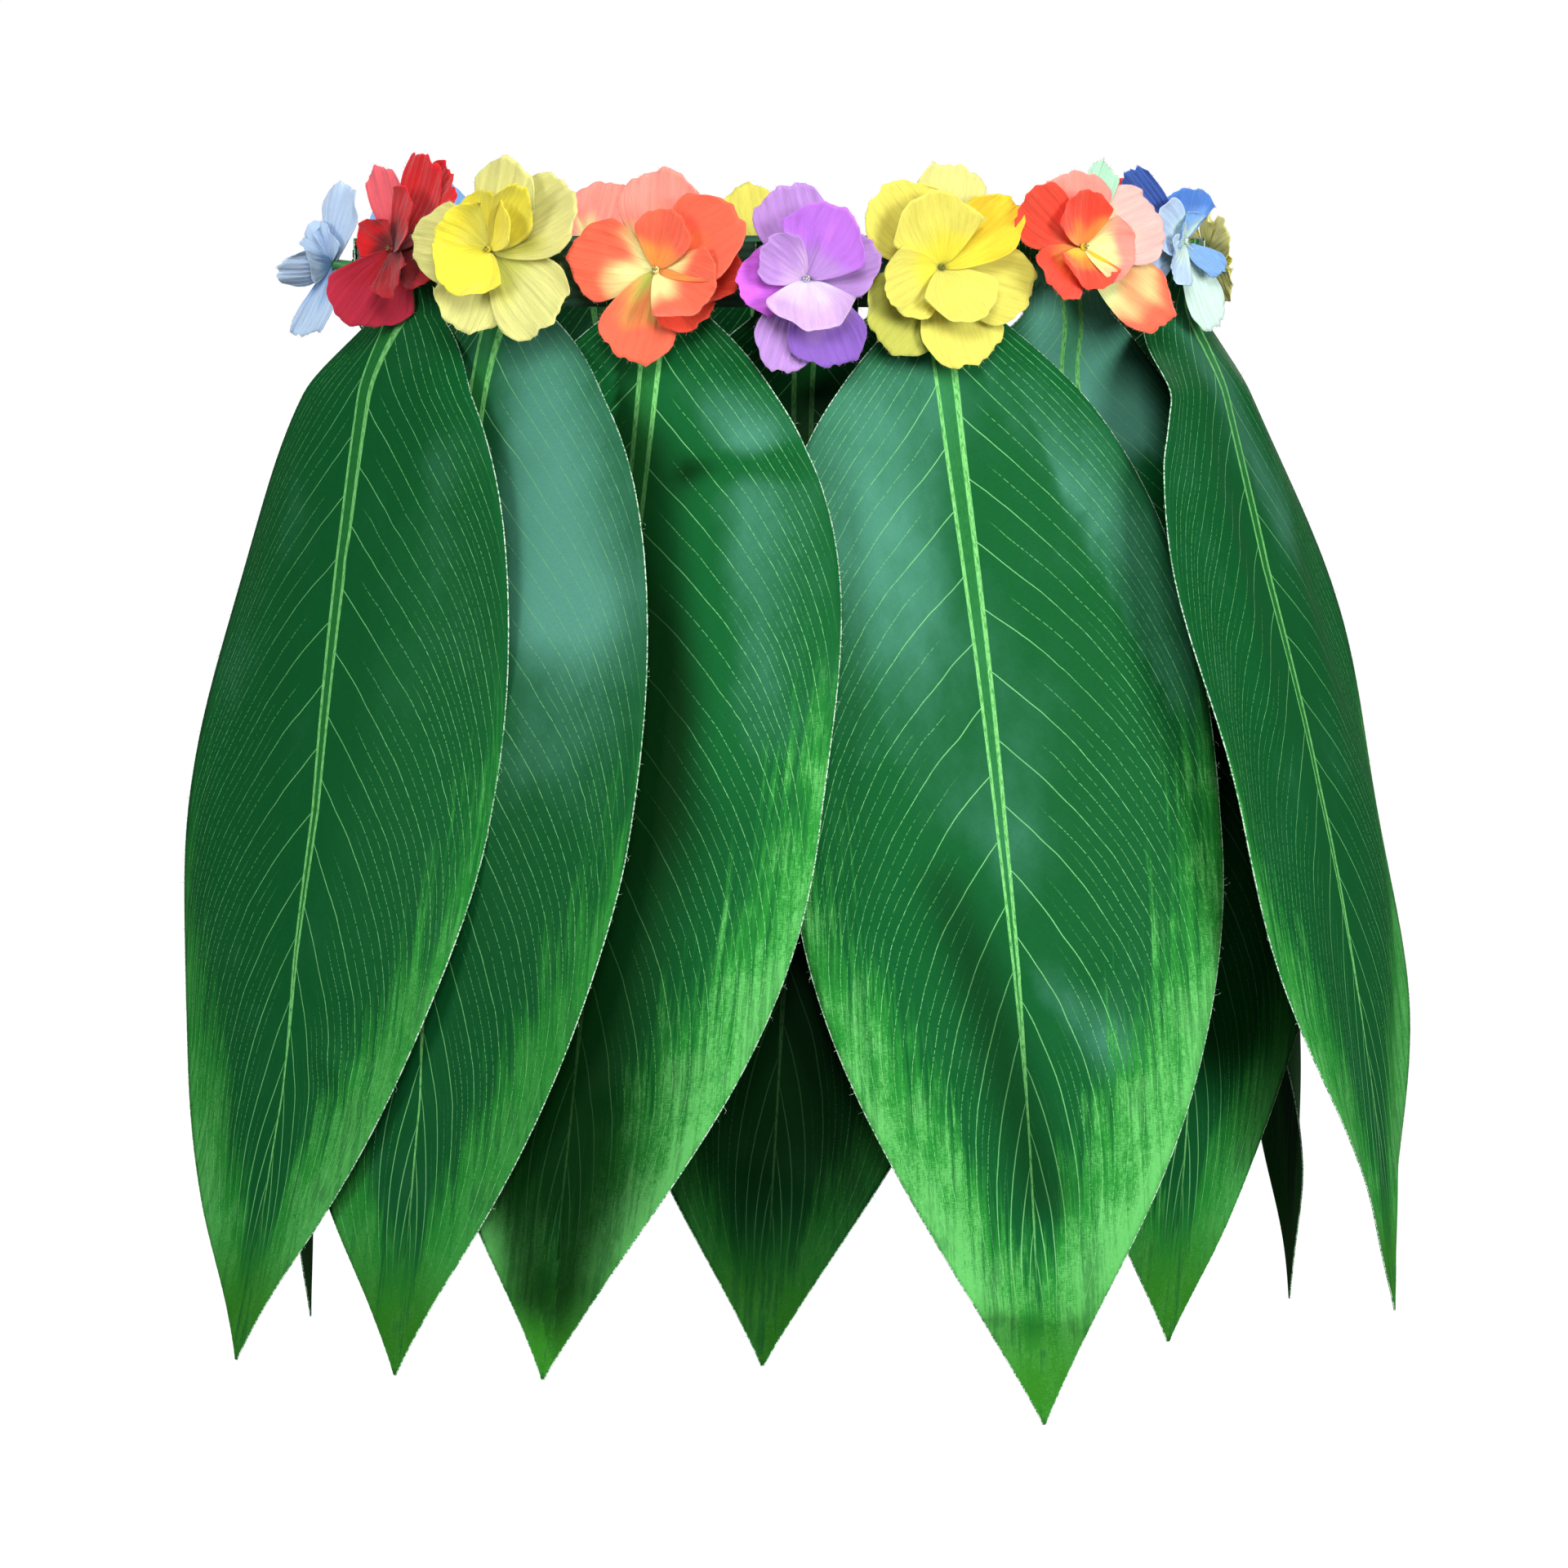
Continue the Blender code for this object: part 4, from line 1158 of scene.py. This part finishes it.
def petal_point(petal, flower, side, share, seed):
    """A point on the petal's under face, in the flower's own frame."""
    heart = Vector((flower.lean, 0.0, 0.0))
    level = Vector((petal.across, petal.up, 0.0)) * MM - heart
    way = level.normalized()
    beside = Matrix.Rotation(math.radians(petal.twist), 3, way) @ way.cross(UPWARDS)
    root = heart + way * ROOT_RADIUS + UPWARDS * (flower.stem + ROOT_OUT + ROOT_RISE[petal.layer])
    end = heart + level + UPWARDS * (flower.stem + petal.out * MM)
    bend_reach, bend_rise = ELBOW[petal.layer]
    elbow = root + way * (level.length - ROOT_RADIUS) * bend_reach
    elbow.z += (end.z - root.z) * bend_rise
    widest = petal.width * MM / 2
    half = widest * petal_half(share)
    lobes = sum(deep * math.sin(count * side + seed * (5.0 + count)) for count, deep in SCALLOPS)
    rounding = (1.0 - math.sqrt(1.0 - TIP_ROUND * side * side)) * widest / (end - root).length
    run = share * (1.0 - rounding * share**2 + lobes * share**3)
    middle = root * (1.0 - run) ** 2 + elbow * 2.0 * run * (1.0 - run) + end * run * run
    slope = ((elbow - root) * (1.0 - run) + (end - elbow) * run).normalized()
    facing = beside.cross(slope)
    unfolded = smooth(*UNFOLDS, share)
    pleat = PLEAT_DEEP * math.cos(side * PLEATS * math.pi + seed * 7.0) * unfolded * (1.0 - 0.5 * share)
    ruffle = sum(high * math.sin(side * count + seed * shift) for count, shift, high in RUFFLES)
    crumple = noise.noise(Vector((side * 1.3, share * 2.2, seed * 40.0))) * CRUMPLE * unfolded
    rise = half * (CUP[petal.layer] * side * side + LAP * side) + pleat + crumple
    rise += RUFFLE[petal.layer] * ruffle * share**3 * 0.5 * (0.35 + 0.65 * abs(side))
    return middle + beside * half * side + facing * rise


def petal_colour(petal, side, share, seed):
    """The dye bleeds from the root to the rim, and is uneven."""
    blot = noise.noise(Vector((side * 1.6, share * 2.6, seed * 23.0))) * BLOT
    bleed = smooth(*BLEED, share + blot - petal.run)
    return Vector(DYES[petal.root]).lerp(Vector(DYES[petal.rim]), bleed)


print("petal grid:", PETAL_COLUMNS, "by", PETAL_ROWS)

# %% Petal cloth
petal_cloth = Finish("dyed petal cloth")
dye, spread = petal_cloth.stored("dye", 0), petal_cloth.stored("spread", 1)
side, share, seed = petal_cloth.parts(spread)
# the rays are dye streaks and painted shade: the same noise raises the bump, so the colour is darker in its
# troughs and lighter on its ridges
rays_and_pleat_shade = petal_cloth.noise((side * 9.0, share * 1.4, seed), 4.0, 0.72)
grain = petal_cloth.noise(petal_cloth.scaled(petal_cloth.place(), 2400.0), 1.0)
colour = petal_cloth.scaled(dye, rays_and_pleat_shade * 0.62 + grain * 0.14 + 0.62)
normal = petal_cloth.bump(rays_and_pleat_shade + grain * 0.10, 0.0014, 0.70)
petal_cloth.set(Base_Color=colour, Roughness=0.78, Normal=normal)
petal_cloth.set(Sheen_Weight=0.25, Sheen_Roughness=0.5, Specular_IOR_Level=0.25)
petal_cloth.set(Subsurface_Weight=0.35, Subsurface_Radius=(1.0, 0.7, 0.7), Subsurface_Scale=0.0012)

knob = Finish("flower knob")
place, dye = knob.place(), knob.stored("dye", 0)
pits = knob.noise(knob.scaled(place, 1300.0))
knob.set(Base_Color=knob.scaled(dye, pits * 0.8 + 0.5), Roughness=0.6, Normal=knob.bump(pits, 0.0008, 0.6))

stem_plastic = Finish("stem plastic")
mould = stem_plastic.noise(stem_plastic.scaled(stem_plastic.place(), 420.0))
shade = stem_plastic.mix(mould, (0.030, 0.200, 0.050), (0.060, 0.320, 0.080))
stem_plastic.set(Base_Color=shade, Roughness=0.45, Normal=stem_plastic.bump(mould, 0.0004, 0.3))
print("finishes for the flowers: 3")

# %% Petals, frays, knobs and stems
PETAL_FRAY, FRAYS_A_PETAL = 0.05 * MM, 46
TIP_SHARE = 0.6  # of a petal's frays that stand out from its tip
KNOB, KNOB_OUT, KNOB_FLAT = 1.6 * MM, 2.2 * MM, 0.8
STAMENS, STALK, STALK_END, BEAD_SIZE = 5, 0.25 * MM, 0.20 * MM, 0.40 * MM
GATHERED = 1.15  # cloth cut for a layer, over the reach of its longest petal


def rim_threads(petal, flower, frame_of, seed, rng):
    """Short threads that stand out round a petal's rim."""
    strands = []
    for _ in range(FRAYS_A_PETAL):
        along = rng.uniform(-1.0, 1.0)
        if abs(along) < TIP_SHARE:
            side, share = along / TIP_SHARE, 1.0
        else:
            side, share = math.copysign(1.0, along), 1.0 - (abs(along) - TIP_SHARE) * 1.2
        middle = petal_point(petal, flower, side * 0.8, share * 0.94, seed)
        root = petal_point(petal, flower, side, share, seed)
        reach = rng.uniform(0.3, 1.3) * MM
        drift = Vector([rng.uniform(-0.5, 0.5) for _ in range(3)]) * reach
        end = root + (root - middle).normalized() * reach + drift
        strands.append(Strand([frame_of @ root, frame_of @ end], PETAL_FRAY, 0.4))
    return strands


def petal_layer(flower, layer, petals, rng):
    """One layer of a flower as one mesh, with its rims' threads and the size of the cloth it was cut from."""
    bm = bmesh.new()
    dye = bm.verts.layers.float_color.new("dye")
    spread = bm.verts.layers.float_vector.new("spread")
    frame_of = flower_frame(flower)
    strands = []
    for petal in petals:
        seed = rng.uniform(0.0, 1.0)
        grid = bmesh.ops.create_grid(bm, x_segments=PETAL_COLUMNS, y_segments=PETAL_ROWS, size=1.0)["verts"]
        for vert in grid:
            side, share = vert.co.x, (1.0 + vert.co.y) / 2
            vert.co = frame_of @ petal_point(petal, flower, side, share, seed)
            vert[dye] = (*petal_colour(petal, side, share, seed), 1.0)
            vert[spread] = (side, share, seed * 60.0)
        strands += rim_threads(petal, flower, frame_of, seed, rng)
    wide = sum(petal.width for petal in petals) * MM
    tall = max(Vector((petal.across, petal.up, petal.out)).length for petal in petals) * MM * GATHERED
    area = min(sum(face.calc_area() for face in bm.faces), wide * tall)
    piece = finished(f"{flower.name}_{layer}", bm, flower.slot, petal_cloth.material)
    thickened(piece, PETAL_CLOTH)
    return piece, strands, (wide, tall), area


def flower_knob(flower, rng):
    """The knob at the flower's middle, with its stamens."""
    bm = bmesh.new()
    dye = bm.verts.layers.float_color.new("dye")
    middle = Vector((flower.lean, 0.0, flower.stem + ROOT_OUT + KNOB_OUT))

    def place(verts, matrix, lift, colour):
        for vert in verts:
            vert.co = flower_frame(flower) @ (matrix @ (vert.co + UPWARDS * lift) + middle)
            vert[dye] = (*DYES[colour], 1.0)

    ball = bmesh.ops.create_icosphere(bm, subdivisions=2, radius=KNOB)["verts"]
    place(ball, Matrix.Diagonal((1.0, 1.0, KNOB_FLAT)), 0.0, flower.heart)
    for step in range(STAMENS):
        turn = math.tau * (step + rng.uniform(-0.2, 0.2)) / STAMENS
        lean = Matrix.Rotation(turn, 4, "Z") @ Matrix.Rotation(rng.uniform(0.25, 0.55), 4, "Y")
        tall = rng.uniform(1.8, 2.6) * MM
        sizes = {"segments": 6, "radius1": STALK, "radius2": STALK_END, "depth": tall}
        stalk = bmesh.ops.create_cone(bm, cap_ends=True, **sizes)["verts"]
        bead = bmesh.ops.create_icosphere(bm, subdivisions=1, radius=BEAD_SIZE)["verts"]
        place(stalk, lean, tall / 2, "olive")
        place(bead, lean, tall, "olive")
    finished(f"{flower.name}_knob", bm, flower.slot, knob.material)


def flower_stem(flower):
    """The stem behind the petals: a foot on the leaf, a shaft and a cup, turned from one profile."""
    radius, top = STEM_SHARE * flower.tall, flower.stem + ROOT_OUT
    foot = ((0.72, 0.0), (0.80, 0.4 * MM), (0.55, 1.0 * MM))
    cup = ((0.50, top - 1.6 * MM), (0.62, top - 0.6 * MM), (0.34, top - 0.1 * MM))
    bm = bmesh.new()
    corners = [bm.verts.new((radius * share, 0.0, up)) for share, up in foot + cup]
    rows = [bm.edges.new(pair) for pair in zip(corners, corners[1:])]
    axis = {"cent": (0, 0, 0), "axis": (0, 0, 1), "angle": math.tau, "steps": 16, "use_merge": True}
    bmesh.ops.spin(bm, geom=corners + rows, **axis)
    bmesh.ops.holes_fill(bm, edges=[edge for edge in bm.edges if edge.is_boundary])
    bmesh.ops.recalc_face_normals(bm, faces=bm.faces)
    for vert in bm.verts:
        vert.co.x += flower.lean * smooth(0.0, top, vert.co.z)
    bm.transform(flower_frame(flower))
    finished(f"{flower.name}_stem", bm, flower.slot, stem_plastic.material)


rng = random.Random(3)
fray_cloth = {}
for flower in FLOWERS:
    for layer in ("outer", "inner"):
        petals = [petal for petal in PETALS if (petal.flower, petal.layer) == (flower.name, layer)]
        piece, strands, flat, area = petal_layer(flower, layer, petals, rng)
        if layer == "outer":
            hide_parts(flower.name)
        if flower.slot not in fray_cloth:
            pale = Vector(DYES[petals[0].rim])
            fray_cloth[flower.slot] = thread_finish(f"{flower.slot} threads", pale, pale * 0.7, 400.0)
        rim = threads(f"{flower.name}_{layer}_rim", strands, fray_cloth[flower.slot], flower.slot)
    flower_knob(flower, rng)
    flower_stem(flower)
print("flowers dressed:", len(FLOWERS))
